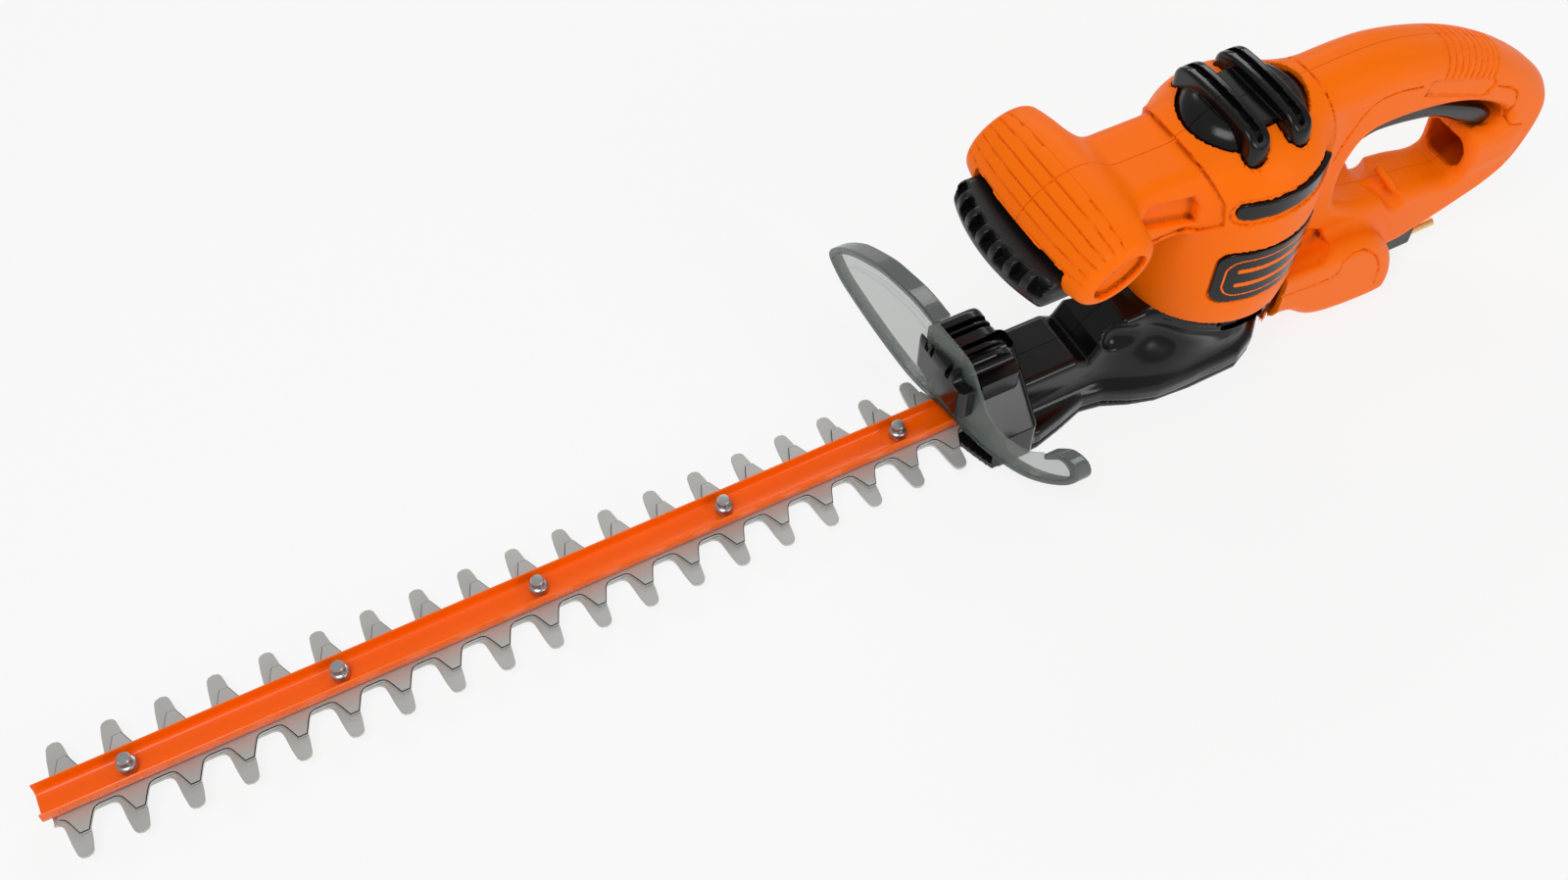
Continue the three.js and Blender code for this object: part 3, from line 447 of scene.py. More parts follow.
def round_barrel(x, y, z):
    r = np.hypot(x, y)
    radius = BARREL_R - 2 * np.clip((80 - z) / 22, 0, 1) ** 2
    return rounded(r - radius, z - BARREL_TOP, SHOULDER)


def plan_wrap(x, y, z):
    """Length round the barrel from the middle of its nearer side, then height."""
    return BARREL_R * np.arctan2(x, np.abs(y)), z


def badge_edge(x, y, z, grow=0.0):
    """Distance to the badge's edge, a rounded rectangle that leans a little on the barrel."""
    u, v = plan_wrap(x, y, z)
    p = np.abs(u - BADGE_MIDDLE[0]) - BADGE_HALF[0] - grow + BADGE_CORNER
    q = np.abs(v - BADGE_MIDDLE[1] - BADGE_LEAN * u) - BADGE_HALF[1] - grow + BADGE_CORNER
    return np.hypot(np.maximum(p, 0), np.maximum(q, 0)) + np.minimum(np.maximum(p, q), 0) - BADGE_CORNER


def stripe_edge(x, y, z, grow=0.0):
    """Distance to the edge of the round-ended vent stripe on the barrel's side."""
    u, v = plan_wrap(x, y, z)
    return capsule(u, v * 0, v, STRIPE_START, STRIPE_END, STRIPE_HALF + grow)


def groove_marks(x, y, z):
    """Distance to the nearest of the lines moulded into the body's sides."""
    side = np.abs(y) > 7
    marks = [only_where(plan(x, z), side) for plan in (GRIP_LINE, HOOK_LINE)]
    marks.append(only_where(BULGE_LINE(x, z), np.abs(y) > 26))
    marks.append(BACK_LINE(x, z))
    return lowest(marks)


def cross_grooves(x, z):
    """Grooves across the top of the grip, fanned along its curve."""
    made = []
    for k in range(GRIP_GROOVES):
        t = k / (GRIP_GROOVES - 1)
        low = np.array([114.5 + 39 * t, 151 - 17.5 * t])
        lean = math.radians(17 + 17 * t)
        out = np.array([math.sin(lean), math.cos(lean)])
        along = (x - low[0]) * out[0] + (z - low[1]) * out[1]
        across = (x - low[0]) * out[1] - (z - low[1]) * out[0]
        made.append(np.hypot(across, np.minimum(along, 0)))
    return lowest(made)


def bar_grooves(x, y, z):
    """Fine grooves along the front bar, drawing together towards its ends."""
    u, v = tilted(x, z)
    angle = np.arctan2(v * T_BAR["long"] / T_BAR["short"], u)
    middle_r = 21
    made = [np.abs(angle - math.radians(62 + 15 * k)) * middle_r for k in range(BAR_GROOVES)]
    return only_where(lowest(made), (v > 0) & (np.abs(y) < 48.5))


def lever_field(x, y, z, grow=0.0):
    """The front lever: a curved bar, undercut in front and flat behind."""
    plan = oval(x - LEVER_MIDDLE, y, LEVER_HALF[0], LEVER_HALF[1])
    plan = rounded(plan, np.abs(y) - 39, 5)
    d = rounded(plan, np.abs(z - 128.75) - 16.75, 6)
    under = plan + (132 - z) * 0.95
    return np.maximum(smooth_meet(d, under, 4), x - LEVER_BACK) - grow


def body_solid(x, y, z):
    """The body's outside before lines and pockets: front bar, arm, barrel, handle loop and rear bulge."""
    a = np.abs(y)
    barrel = round_barrel(x, y, z)
    arm = rounded_box(x, y, z, (-60, 0, 142.5), (46, 26.5, 18.8), 10)
    front = smooth_union(bar_field(x, y, z), arm, 9)
    high = smooth_union(smooth_union(barrel, arm - 1.3, 10), barrel, 1)
    front = smooth_union(front, barrel, 8)
    step = np.maximum(high - 0.9, -STEP_SIDE(x, z))
    d = np.minimum(front, step)
    edge = 6 + 9 * np.clip((z - 50) / 50, 0, 1)
    grip = rounded(HANDLE_SIDE(x, z), a - 17.5 - 1.5 * np.clip((150 - x) / 90, 0, 1), edge)
    d = smooth_union(d, grip, 12)
    bulge = rounded(BULGE_SIDE(x, z), a - 34, 9)
    d = smooth_union(d, bulge, 7)
    cord_loop = rounded_box(x, y, z, (179, 0, 70), (22, 18, 15.5), 10)
    d = smooth_union(d, cord_loop, 4)
    d = rounded(d, -HAND_GAP(x, z), 7)
    cord_groove = capsule(x, a, z, (121, 24, 56), (103, 0, 74), 5)
    d = smooth_cut(d, cord_groove, 2)
    tab = capsule(x, y, z, (118, -11, 66), (113, -2, 74), 2.4)
    return smooth_union(d, tab, 2)


def pulled(x, z, degrees):
    """Where a point beside the trigger lies on the trigger at rest, once it has been pulled that far."""
    c, s = math.cos(math.radians(degrees)), math.sin(math.radians(degrees))
    dx, dz = x - TRIGGER_PIVOT[0], z - TRIGGER_PIVOT[1]
    return TRIGGER_PIVOT[0] + c * dx + s * dz, TRIGGER_PIVOT[1] + c * dz - s * dx


def lever_opening(x, y, z):
    """The lever with room round it, its section at the bar's mouth drawn straight up."""
    return lever_field(x, y, np.minimum(z, LEVER_MOUTH), LEVER_GAP)


def cap_opening(x, y):
    return oval(x - CAP_MIDDLE, y, CAP_HALF[0] + CAP_GAP, CAP_HALF[1] + CAP_GAP)


def body_openings(x, y, z):
    """What is cut right through: gear end, cap seat, lever and trigger slots, cord hole, inlet."""
    a = np.abs(y)
    r = np.hypot(x, y)
    gear_end = np.maximum(z - BARREL_BOTTOM, np.minimum(r - 44.8, np.maximum(r - 48, x - 33)))
    notch = np.maximum(np.maximum(np.abs(x + 3) - 5, 19 - a), CAP_FLOOR - z)
    cap = np.maximum(np.maximum(cap_opening(x, y), CAP_FLOOR - z), -notch)
    seats = lowest([np.hypot(x - m, np.maximum(a - RIB_REACH, 0)) - 6.3 for m in RIBS])
    rib_seats = np.maximum(seats, 160 - z)
    lever = np.maximum(lever_opening(x, y, z), z - LEVER_CEILING)
    sweep = lowest([TRIGGER_SIDE(*pulled(x, z, degrees)) for degrees in TRIGGER_PULLS])
    trigger = np.maximum(sweep - 1, a - TRIGGER_HALF - TRIGGER_GAP)
    cord_hole = rounded_box(x, y, z, (171, 0, 70), (14, 13.5, 11.5), 8)
    inlet = rounded_box(x, y, z, (126, 0, 13), (30, 13.4, 9.2), 1)
    return lowest([gear_end, cap, rib_seats, lever, trigger, cord_hole, inlet])


def body_field(x, y, z):
    """The moulded shell: pockets shape both faces of its wall, lines and grooves only the outer one."""
    a = np.abs(y)
    flank = np.abs(x) <= BARREL_FLANK
    d = body_solid(x, y, z)
    d = pocket(d, np.maximum(WEB_POCKET(x, z), 15 - a), 4, 2)
    d = pocket(d, np.maximum(ARM_POCKET(x, z), 18 - a), 5, 2.5)
    d = pocket(d, only_where(badge_edge(x, y, z, BADGE_SEAT), flank), 1.8)
    d = pocket(d, only_where(stripe_edge(x, y, z, STRIPE_SEAT), flank), 1.3)
    d = pocket(d, only_where(stripe_edge(x, y, z, 0.3), flank), 3.2)
    inner = d + SHELL_WALL
    d = press(d, groove_marks(x, y, z), 1.2, 0.65)
    d = press(d, cross_grooves(x, z), 1.3, 1.3)
    d = press(d, bar_grooves(x, y, z), 0.7, 0.6)
    d = pocket(d, np.maximum(THUMB_PANEL(x, z), 9 - a), 0.9)
    shell = np.maximum(d, -inner)
    return np.maximum(shell, -body_openings(x, y, z))


def body_near(x, y, z):
    """Where the body's outside needs a finer mesh: beside its lines, pockets and openings."""
    a = np.abs(y)
    marks = [
        groove_marks(x, y, z) - 0.8,
        cross_grooves(x, z) - 1.3,
        bar_grooves(x, y, z) - 0.8,
        only_where(np.abs(THUMB_PANEL(x, z)), a > 8),
        np.abs(badge_edge(x, y, z, BADGE_SEAT)),
        np.abs(stripe_edge(x, y, z, STRIPE_SEAT)),
        np.abs(STEP_SIDE(x, z)),
        only_where(np.abs(lever_opening(x, y, z)), z < 150),
        only_where(np.abs(cap_opening(x, y)), z > 160),
        only_where(np.abs(WEB_POCKET(x, z)), a > 20),
        only_where(np.abs(z - BARREL_BOTTOM), x < 44),
    ]
    outside = body_solid(x, y, z) > -1.8
    gear_room = (np.abs(x) < 20) & (z < 60)
    return (lowest(marks) < 0.6) & outside & ~gear_room


# ---- guard and clamp, gear case and sole ----------------------------------------------------------

GUARD_X = -153.5
GUARD_LOW = (-158, -78, 8)
GUARD_HIGH = (-108, 122, 80)
WING_START = 20
WING_CURVE = 0.004
BACK_OF_GUARD = 1.6
PLATE_HALF = 0.9
GUARD_OUTLINE = Plan([
    (0, 21.6), (15, 18.5), (33, 14.5), (60, 13), (90, 14), (108, 17), (118, 26), (100, 46), (70, 64),
    (51, 71), (32, 76), (10, 77), (-12, 72), (-22, 55), (-32, 38), (-48, 33), (-57, 38), (-65, 43),
    (-72, 38), (-74, 28), (-68, 19), (-53, 13), (-33, 15), (-15, 19.5),
])
SOLE = Plan([
    (-149, 0), (-149, 34), (-112, 33), (-96, 29), (-80, 24), (-68, 26), (-54, 32), (-40, 36), (-18, 37.5),
    (12, 37), (25, 31), (39, 18), (45, 6), (45, 0),
], curved=False)
SPINE = Plan([
    (-148.5, 5), (-148.5, 22), (-119, 23), (-118, 40), (-84, 40), (-77, 36), (-71, 45), (-57, 57.4),
    (0, 57.4), (0, 5),
], curved=False)


def guard_parts(x, y, z):
    """Distance through the guard's sheet, whose left wing curves back, and distance to its outline."""
    back = np.maximum(0, WING_START - y)
    across = (x - GUARD_X - WING_CURVE * back**2) / np.hypot(1, 2 * WING_CURVE * back)
    return across, GUARD_OUTLINE(y, z)


def bare_edge(y, z):
    """Positive where the sheet's upper edge has no rim: behind the clamp and along the left wing."""
    return np.minimum(np.minimum(z - 27, 14 - y), y + 58)


def guard_plate(x, y, z):
    """The clear sheet inside the rim, with one raised line along the right wing's upper edge."""
    across, edge = guard_parts(x, y, z)
    rimmed = np.clip(0.5 - bare_edge(y, z) / 3, 0, 1)
    plate = rounded(edge + 2.5 * rimmed, np.abs(across) - PLATE_HALF, 0.5)
    bead = rounded(np.abs(edge + 11) - 0.6, np.abs(across) - 1.5, 0.4)
    beads = np.where((y > 12) & (y < 96) & (z > 30), bead, FAR)
    return np.minimum(plate, beads)


def guard_rim(x, y, z):
    """The rim that stands back from the sheet's edge, deepest along the top, with a small step inside it."""
    across, edge = guard_parts(x, y, z)
    deep = 3.6 + 1.6 * np.clip((z - 30) / 20, 0, 1) * (y > 0)
    rim = rounded(np.abs(edge + 1.2) - 1.2, np.abs(across - deep + 1.4) - deep, 0.9)
    step = rounded(np.abs(edge + 3) - 1, np.abs(across - 0.6) - 1.8, 0.5)
    return smooth_meet(smooth_union(rim, step, 0.8), bare_edge(y, z), 1.2)


def guard_room(x, a, z):
    """Positive in front of the face that the guard's curved wing lies on, on both sides alike."""
    across, _ = guard_parts(x, -a, z)
    return BACK_OF_GUARD - across


def sole_field(x, y, z):
    """The base plate that closes the gear case below."""
    a = np.abs(y)
    plate = rounded(SOLE(x, a) + 0.3, np.abs(z - 2.1) - 1.9, 1)
    return np.maximum(plate, guard_room(x, a, z))


def gear_case_solid(x, y, z):
    """The gear case's outside: flange, spine, flared skirt below the barrel, shoulders behind the guard."""
    a = np.abs(y)
    r = np.hypot(x, y)
    flange = rounded(SOLE(x, a), np.abs(z - 9.7) - 5.4, 3)
    spine = rounded(SPINE(x, z), a - 19, 4)
    radius = 33 + 9.5 * np.clip((z - 26) / 24, 0, 1) ** 1.5
    skirt = rounded(r - radius, np.abs(z - 31) - 26.6, 1.6)
    d = smooth_union(smooth_union(spine, skirt, 9), flange, 9)
    collar = rounded(r - 43.6, np.abs(z - 55.7) - 2, 0.8)
    d = np.minimum(d, collar)
    apron = rounded(np.hypot(x + 31.5, y) - 32.5, np.abs(z - 19.5) - 15, 12)
    d = smooth_union(d, apron, 16)
    pit = capsule(x, a, z, (-62, 22, 47), (-46, 31, 48), 9)
    d = smooth_cut(d, pit, 1.5)
    shoulder = rounded(np.abs(x + 132) - 15, np.maximum(a - 36, z - 46 + 1.1 * (a - 19)), 4)
    return np.maximum(smooth_union(d, np.maximum(shoulder, 4.3 - z), 2), guard_room(x, a, z))


def gear_case_field(x, y, z):
    """The gear case is open below, where the base plate closes it, and in front for the blades."""
    a = np.abs(y)
    inner = gear_case_solid(x, y, np.maximum(z, 13)) + SHELL_WALL
    shell = np.maximum(gear_case_solid(x, y, z), -inner)
    channel_room = np.maximum(np.maximum(a - 12.7, z - 20.5), x + 60)
    tooth_room = np.maximum(np.maximum(a - 31.6, z - 13.4), x + 139)
    return np.maximum(shell, -np.minimum(channel_room, tooth_room))


def clamp_field(x, y, z):
    """The finned block that holds the guard to the gear case's nose."""
    block = rounded_box(x, y, z, (-139.5, 1, 45), (18.2, 21.5, 20.7), 4)
    block = smooth_meet(block, np.hypot(x + 139, z - 44) - 25, 3)
    for middle, half in ((13.5, 1.5), (9, 1.2), (-6, 1.7)):
        fin_gap = rounded_box(x, y, z, (-133, middle, 70), (30, half, 13), 1)
        block = np.maximum(block, -fin_gap)
    block = np.maximum(block, -rounded_box(x, y, z, (-133, -23, 70), (40, 12, 12), 3))
    across, edge = guard_parts(x, y, z)
    sheet_slot = np.maximum(np.abs(across) - 1.9, edge - 0.4)
    block = np.maximum(block, -sheet_slot)
    rim_room = np.maximum(across - 2, z - 38)
    block = np.maximum(block, -rim_room)
    return np.maximum(block, 0.3 - gear_case_solid(x, y, z))


# ---- air cap, lever, trigger, badge and stripes ---------------------------------------------------

NOTCHES = 7
NOTCH_PITCH = 11.2
FIRST_NOTCH = -33.6


def cap_field(x, y, z):
    """The oval cap on the barrel, crossed by two grooved ribs that wrap over its sides."""
    a = np.abs(y)
    soft = 8 + 6 * np.clip(-x / 20, 0, 1)
    dome = rounded(oval(x - CAP_MIDDLE, y, *CAP_HALF), z - 174.3, soft)
    notch = np.maximum(np.abs(x + 3) - 5.3, 18.7 - a)
    d = np.maximum(dome, -notch)
    for middle in RIBS:
        arch = rounded(a - 33, z - 180.3 + 3 * (y / 33) ** 2, 12)
        from_line = np.hypot(x - middle, np.maximum(a - RIB_REACH, 0))
        rib = rounded(arch, from_line - 6, 1.8)
        rib = np.maximum(rib, np.minimum(1.9 - from_line, arch + 3))
        d = np.minimum(d, rib)
    inner = rounded(oval(x - CAP_MIDDLE, y, CAP_HALF[0] - 3, CAP_HALF[1] - 3), z - 170.5, 8)
    d = np.maximum(d, -inner)
    return np.maximum(d, 161.3 - z)


def lever_shape(x, y, z):
    """The front lever with finger notches along its upper front edge."""
    d = lever_field(x, y, z)
    plan = oval(x - LEVER_MIDDLE, y, *LEVER_HALF)
    nearest = np.clip(np.round((y - FIRST_NOTCH) / NOTCH_PITCH), 0, NOTCHES - 1)
    v = np.abs(y - FIRST_NOTCH - NOTCH_PITCH * nearest) - 3.4
    notch = np.maximum(np.maximum(v, -plan - 6), 137.5 - z)
    return smooth_cut(d, notch, 0.8)


def trigger_field(x, y, z):
    return rounded(TRIGGER_SIDE(x, z), np.abs(y) - TRIGGER_HALF, 3.5)


def badge_plate(x, y, z):
    """The black badge, with a groove for its orange frame line."""
    r = np.hypot(x, y)
    d = rounded(badge_edge(x, y, z), np.abs(r - 45.4) - 1.3, 0.7)
    frame_line = np.abs(badge_edge(x, y, z, BADGE_FRAME)) - 0.7
    return np.maximum(d, np.minimum(-frame_line, 46.1 - r))


def badge_line(x, y, z):
    """The badge's orange print: a frame line and two plain bars in place of lettering."""
    r = np.hypot(x, y)
    ring = np.abs(badge_edge(x, y, z, BADGE_FRAME)) - 0.62
    u, v = plan_wrap(x, y, z)
    w = v - BADGE_MIDDLE[1] - BADGE_LEAN * u
    bars = [rounded(np.abs(w - h) - 1.6, np.abs(u - BADGE_MIDDLE[0]) - 21, 1.2) for h in (-5, 5)]
    return np.maximum(lowest([ring] + bars), np.abs(r - 46.4) - 0.35)


def stripe_plate(x, y, z):
    """The black stripe in the barrel's side, with a shallow slot along it."""
    r = np.hypot(x, y)
    edge = stripe_edge(x, y, z)
    d = rounded(edge, np.abs(r - 43.7) - 1.8, 1.1)
    return np.maximum(d, np.minimum(-(edge + 3.1), 44.7 - r))


# ---- finishes -------------------------------------------------------------------------------------


def finish_material(name, colour, rough, metal=0.0, grain=900.0, bump=0.05, mottle=0.08,
                    stretch=None, wear=0.0, shine=0.5, crease_shade=0.0):
    """Mottled colour, uneven roughness and a fine bump, with brighter edges for wear and painted shade
    darkening the creases where asked.
    """
    made = bpy.data.materials.new(name)
    made.use_nodes = True
    tree = made.node_tree
    add, link = tree.nodes.new, tree.links.new
    shader = tree.nodes["Principled BSDF"]
    place = add("ShaderNodeTexCoord")
    scale = add("ShaderNodeMapping")
    scale.inputs["Scale"].default_value = stretch or (1, 1, 1)
    link(place.outputs["Object"], scale.inputs["Vector"])
    fine = add("ShaderNodeTexNoise")
    fine.inputs["Scale"].default_value = grain
    fine.inputs["Detail"].default_value = 3
    broad = add("ShaderNodeTexNoise")
    broad.inputs["Scale"].default_value = 28
    broad.inputs["Detail"].default_value = 4
    link(scale.outputs["Vector"], fine.inputs["Vector"])
    link(place.outputs["Object"], broad.inputs["Vector"])
    tint = add("ShaderNodeMix")
    tint.data_type = "RGBA"
    tint.inputs["A"].default_value = (*[c * (1 - mottle) for c in colour], 1)
    tint.inputs["B"].default_value = (*[min(1, c * (1 + mottle)) for c in colour], 1)
    link(broad.outputs["Fac"], tint.inputs["Factor"])
    last = tint.outputs["Result"]
    changes = []
    if wear:
        changes.append((0.52, 0.62, wear, [min(1, c * 1.5 + 0.04) for c in colour]))
    # Painted shade: concave creases darken towards a fifth of the colour, standing in for the shade that
    # falls in them.
    if crease_shade:
        changes.append((0.485, 0.43, crease_shade, [c * 0.22 for c in colour]))
    for start, end, most, shade in changes:
        edge = add("ShaderNodeNewGeometry")
        ramp = add("ShaderNodeMapRange")
        ramp.inputs["From Min"].default_value = start
        ramp.inputs["From Max"].default_value = end
        ramp.inputs["To Max"].default_value = most
        # Mixes in the wear on edges and the painted shade in creases.
        wear_and_crease_shade = add("ShaderNodeMix")
        wear_and_crease_shade.data_type = "RGBA"
        wear_and_crease_shade.inputs["B"].default_value = (*shade, 1)
        link(edge.outputs["Pointiness"], ramp.inputs["Value"])
        link(ramp.outputs["Result"], wear_and_crease_shade.inputs["Factor"])
        link(last, wear_and_crease_shade.inputs["A"])
        last = wear_and_crease_shade.outputs["Result"]
    link(last, shader.inputs["Base Color"])
    spread = add("ShaderNodeMapRange")
    spread.inputs["To Min"].default_value = max(0.03, rough - 0.07)
    spread.inputs["To Max"].default_value = rough + 0.07
    link(broad.outputs["Fac"], spread.inputs["Value"])
    link(spread.outputs["Result"], shader.inputs["Roughness"])
    relief = add("ShaderNodeBump")
    relief.inputs["Strength"].default_value = bump
    relief.inputs["Distance"].default_value = 0.0004
    link(fine.outputs["Fac"], relief.inputs["Height"])
    link(relief.outputs["Normal"], shader.inputs["Normal"])
    shader.inputs["Metallic"].default_value = metal
    shader.inputs["Specular IOR Level"].default_value = shine
    made.diffuse_color = (*colour, 1)
    return made


BRUSHED = (0.08, 1, 1)
ROUND_BRUSHED = (1, 1, 0.08)
LAMINATED = (0.05, 0.05, 1)
LOOKS = {
    # The orange gets painted shade in its concave creases and grooves.
    "orange_plastic": dict(colour=(1.0, 0.165, 0.0), rough=0.42, grain=1500, bump=0.22, mottle=0.04,
                           shine=0.1, crease_shade=0.85),
    "channel_paint": dict(colour=(1.0, 0.13, 0.0), rough=0.25, grain=600, bump=0.04, mottle=0.06, shine=0.3),
    "black_plastic": dict(colour=(0.003, 0.003, 0.0035), rough=0.19, grain=1100, mottle=0.3, shine=0.33),
    "dark_plastic": dict(colour=(0.005, 0.005, 0.0055), rough=0.33, grain=1300, bump=0.12, mottle=0.2,
                         shine=0.36),
    "blade_steel": dict(colour=(0.5, 0.5, 0.48), rough=0.38, metal=0.35, grain=700, bump=0.1, mottle=0.14,
                        stretch=BRUSHED),
    "plated_steel": dict(colour=(0.42, 0.43, 0.44), rough=0.28, metal=0.9, grain=500, bump=0.06, mottle=0.15,
                         wear=0.5),
    "machined_steel": dict(colour=(0.5, 0.5, 0.52), rough=0.32, metal=1.0, bump=0.12, mottle=0.1,
                           stretch=ROUND_BRUSHED),
    "core_steel": dict(colour=(0.3, 0.31, 0.33), rough=0.45, metal=0.9, grain=1600, bump=0.4, mottle=0.2,
                       stretch=LAMINATED),
    "brass": dict(colour=(0.72, 0.47, 0.2), rough=0.3, metal=1.0, grain=700, bump=0.06, mottle=0.1, wear=0.4),
    "copper": dict(colour=(0.7, 0.28, 0.12), rough=0.35, metal=1.0, grain=1400, bump=0.5, mottle=0.2,
                   stretch=ROUND_BRUSHED),
    "carbon": dict(colour=(0.03, 0.03, 0.032), rough=0.6, grain=1800, bump=0.4, mottle=0.3),
    "cream_plastic": dict(colour=(0.7, 0.63, 0.45), rough=0.45, bump=0.1),
    "cast_alloy": dict(colour=(0.45, 0.45, 0.46), rough=0.5, metal=0.8, grain=500, bump=0.35, mottle=0.15),
    # Near-black steel for the blades' ground bevels: painted shade, as if those faces lay in shadow.
    "bevel_painted_shade": dict(colour=(0.035, 0.035, 0.035), rough=0.3, metal=0.7, bump=0.2, mottle=0.2,
                       stretch=BRUSHED),
}
FINISHES = {name: finish_material(name, **look) for name, look in LOOKS.items()}


def guard_material(name, colour, cover):
    """Clear green-grey plastic, a little clouded."""
    made = finish_material(name, colour, 0.1, grain=400, bump=0.03, mottle=0.1)
    made.node_tree.nodes["Principled BSDF"].inputs["Alpha"].default_value = cover
    return made


FINISHES["guard_clear"] = guard_material("guard_clear", (0.2, 0.24, 0.22), 0.36)
GUARD_EDGE = guard_material("guard_edge", (0.03, 0.05, 0.042), 0.72)


def keep(piece, body, slot, *nodes):
    """Gives a piece its finish, the body it rides on and the CAD nodes that it stands for."""
    piece.data.materials.append(FINISHES[slot])
    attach(piece, body)
    if nodes:
        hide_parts(*nodes)
    return piece


SLOT_OF = {row["node"]: row["material_slot"] for row in frame["record"]["subparts"]}
for node, carried in NODES.items():
    carried.data.materials.clear()
    carried.data.materials.append(FINISHES[SLOT_OF[node]])


# ---- solid pieces made point by point -------------------------------------------------------------


def add_piece(name, bm, sharp=None):
    """Turns a mesh made in millimetres into an object, smooth up to the sharp angle where one is given."""
    bmesh.ops.scale(bm, verts=bm.verts, vec=(MM, MM, MM))
    mesh = bpy.data.meshes.new(name)
    bm.to_mesh(mesh)
    bm.free()
    if sharp:
        mesh.shade_smooth()
        mesh.set_sharp_from_angle(angle=math.radians(sharp))
    piece = bpy.data.objects.new(name, mesh)
    bpy.context.scene.collection.objects.link(piece)
    return piece


def prism(name, points, low, high, bevel=0.0, bevel_if=None):
    """An outline in X and Y raised from one height to another, its chosen top edges bevelled."""
    bm = bmesh.new()
    ring = [bm.verts.new((x, y, low)) for x, y in points]
    face = bm.faces.new(ring)
    if face.normal.z > 0:
        face.normal_flip()
    raised = bmesh.ops.extrude_face_region(bm, geom=[face])["geom"]
    top = [v for v in raised if isinstance(v, bmesh.types.BMVert)]
    bmesh.ops.translate(bm, verts=top, vec=(0, 0, high - low))
    bmesh.ops.recalc_face_normals(bm, faces=bm.faces)
    if bevel:
        tops = set(top)
        chosen = [e for e in bm.edges if e.verts[0] in tops and e.verts[1] in tops]
        if bevel_if:
            chosen = [e for e in chosen if all(bevel_if(v.co) for v in e.verts)]
        made = bmesh.ops.bevel(bm, geom=chosen, offset=bevel, segments=1, profile=0.5, affect="EDGES",
                               clamp_overlap=True)
        # The bevel faces take the second material, which paints them dark as shade.
        for sloped in made["faces"]:
            sloped.material_index = 1
    return add_piece(name, bm)


def combine(piece, tool, operation):
    """Cuts or joins the piece with a tool, which is used up."""
    step = piece.modifiers.new("step", "BOOLEAN")
    step.operation = operation
    step.solver = "EXACT"
    step.object = tool
    graph = bpy.context.evaluated_depsgraph_get()
    made = bpy.data.meshes.new_from_object(piece.evaluated_get(graph))
    piece.modifiers.clear()
    piece.data = made
    bpy.data.objects.remove(tool)


def turned(name, profile, middle, count=40):
    """A turned piece: (radius, height) pairs spun about an upright axis."""
    bm = bmesh.new()
    rings = []
    for r, h in profile:
        if r == 0:
            rings.append([bm.verts.new((0, 0, h))])
            continue
        around = [2 * math.pi * k / count for k in range(count)]
        rings.append([bm.verts.new((r * math.cos(a), r * math.sin(a), h)) for a in around])
    for a, b in zip(rings, rings[1:]):
        for k in range(count):
            n = (k + 1) % count
            corners = [a[k % len(a)], a[n % len(a)], b[n % len(b)], b[k % len(b)]]
            bm.faces.new(list(dict.fromkeys(corners)))
    bmesh.ops.recalc_face_normals(bm, faces=bm.faces)
    bmesh.ops.translate(bm, verts=bm.verts, vec=middle)
    return add_piece(name, bm, 35)


def arc_points(points, per=4):
    """Rounds an open run of corner points by a curve through them."""
    return [tuple(p) for p in spline(points, closed=False, per=per)]


# ---- blades, channel and bolts --------------------------------------------------------------------

PITCH = 25
TEETH = 19
FIRST_TOOTH = 9
REST_SHIFT = 1.25
BAR_HALF = 10
NECK_LENGTH = 21
BOLT_SLOT = dict(half_x=9.9, half_y=2.8, r=2.8)
YOKE = dict(half_x=26.2, half_y=20, r=8)
YOKE_HOLE = dict(half_x=22.8, half_y=16.6, r=5)
BOLTS = [f"blade_bolt_{k}" for k in range(1, 6)]


def long_tooth(x, tip):
    """One round-ended tooth of the lower blade, as an outline from root to root."""
    root = [(-9.5, BAR_HALF), (-7.2, BAR_HALF + 0.8), (-5.5, BAR_HALF + 3.5)]
    half = root + [(-4.5, tip - 8), (-3.5, tip - 2.2)]
    end = [(-2.4, tip - 0.7), (0, tip), (2.4, tip - 0.7)]
    mirrored = [(-u, v) for u, v in reversed(half)]
    return [(x + u, v) for u, v in arc_points(half, 3) + end + arc_points(mirrored, 3)]


def short_tooth(x, tip):
    """One flat-ended cutting tooth of the upper blade."""
    half = [(-9, BAR_HALF), (-7, BAR_HALF + 0.8), (-5.4, BAR_HALF + 3), (-2.2, tip - 0.4)]
    mirrored = [(-u, v) for u, v in reversed(half)]
    return [(x + u, v) for u, v in arc_points(half, 3) + arc_points(mirrored, 3)]


def rounded_ring(x, half_x, half_y, r):
    """The outline of a rounded rectangle on the X axis, with six points round each corner."""
    made = []
    for k, (sx, sy) in enumerate(((1, 1), (-1, 1), (-1, -1), (1, -1))):
        for j in range(6):
            a = math.pi / 2 * (k + j / 5)
            made.append((x + sx * (half_x - r) + r * math.cos(a), sy * (half_y - r) + r * math.sin(a)))
    return made


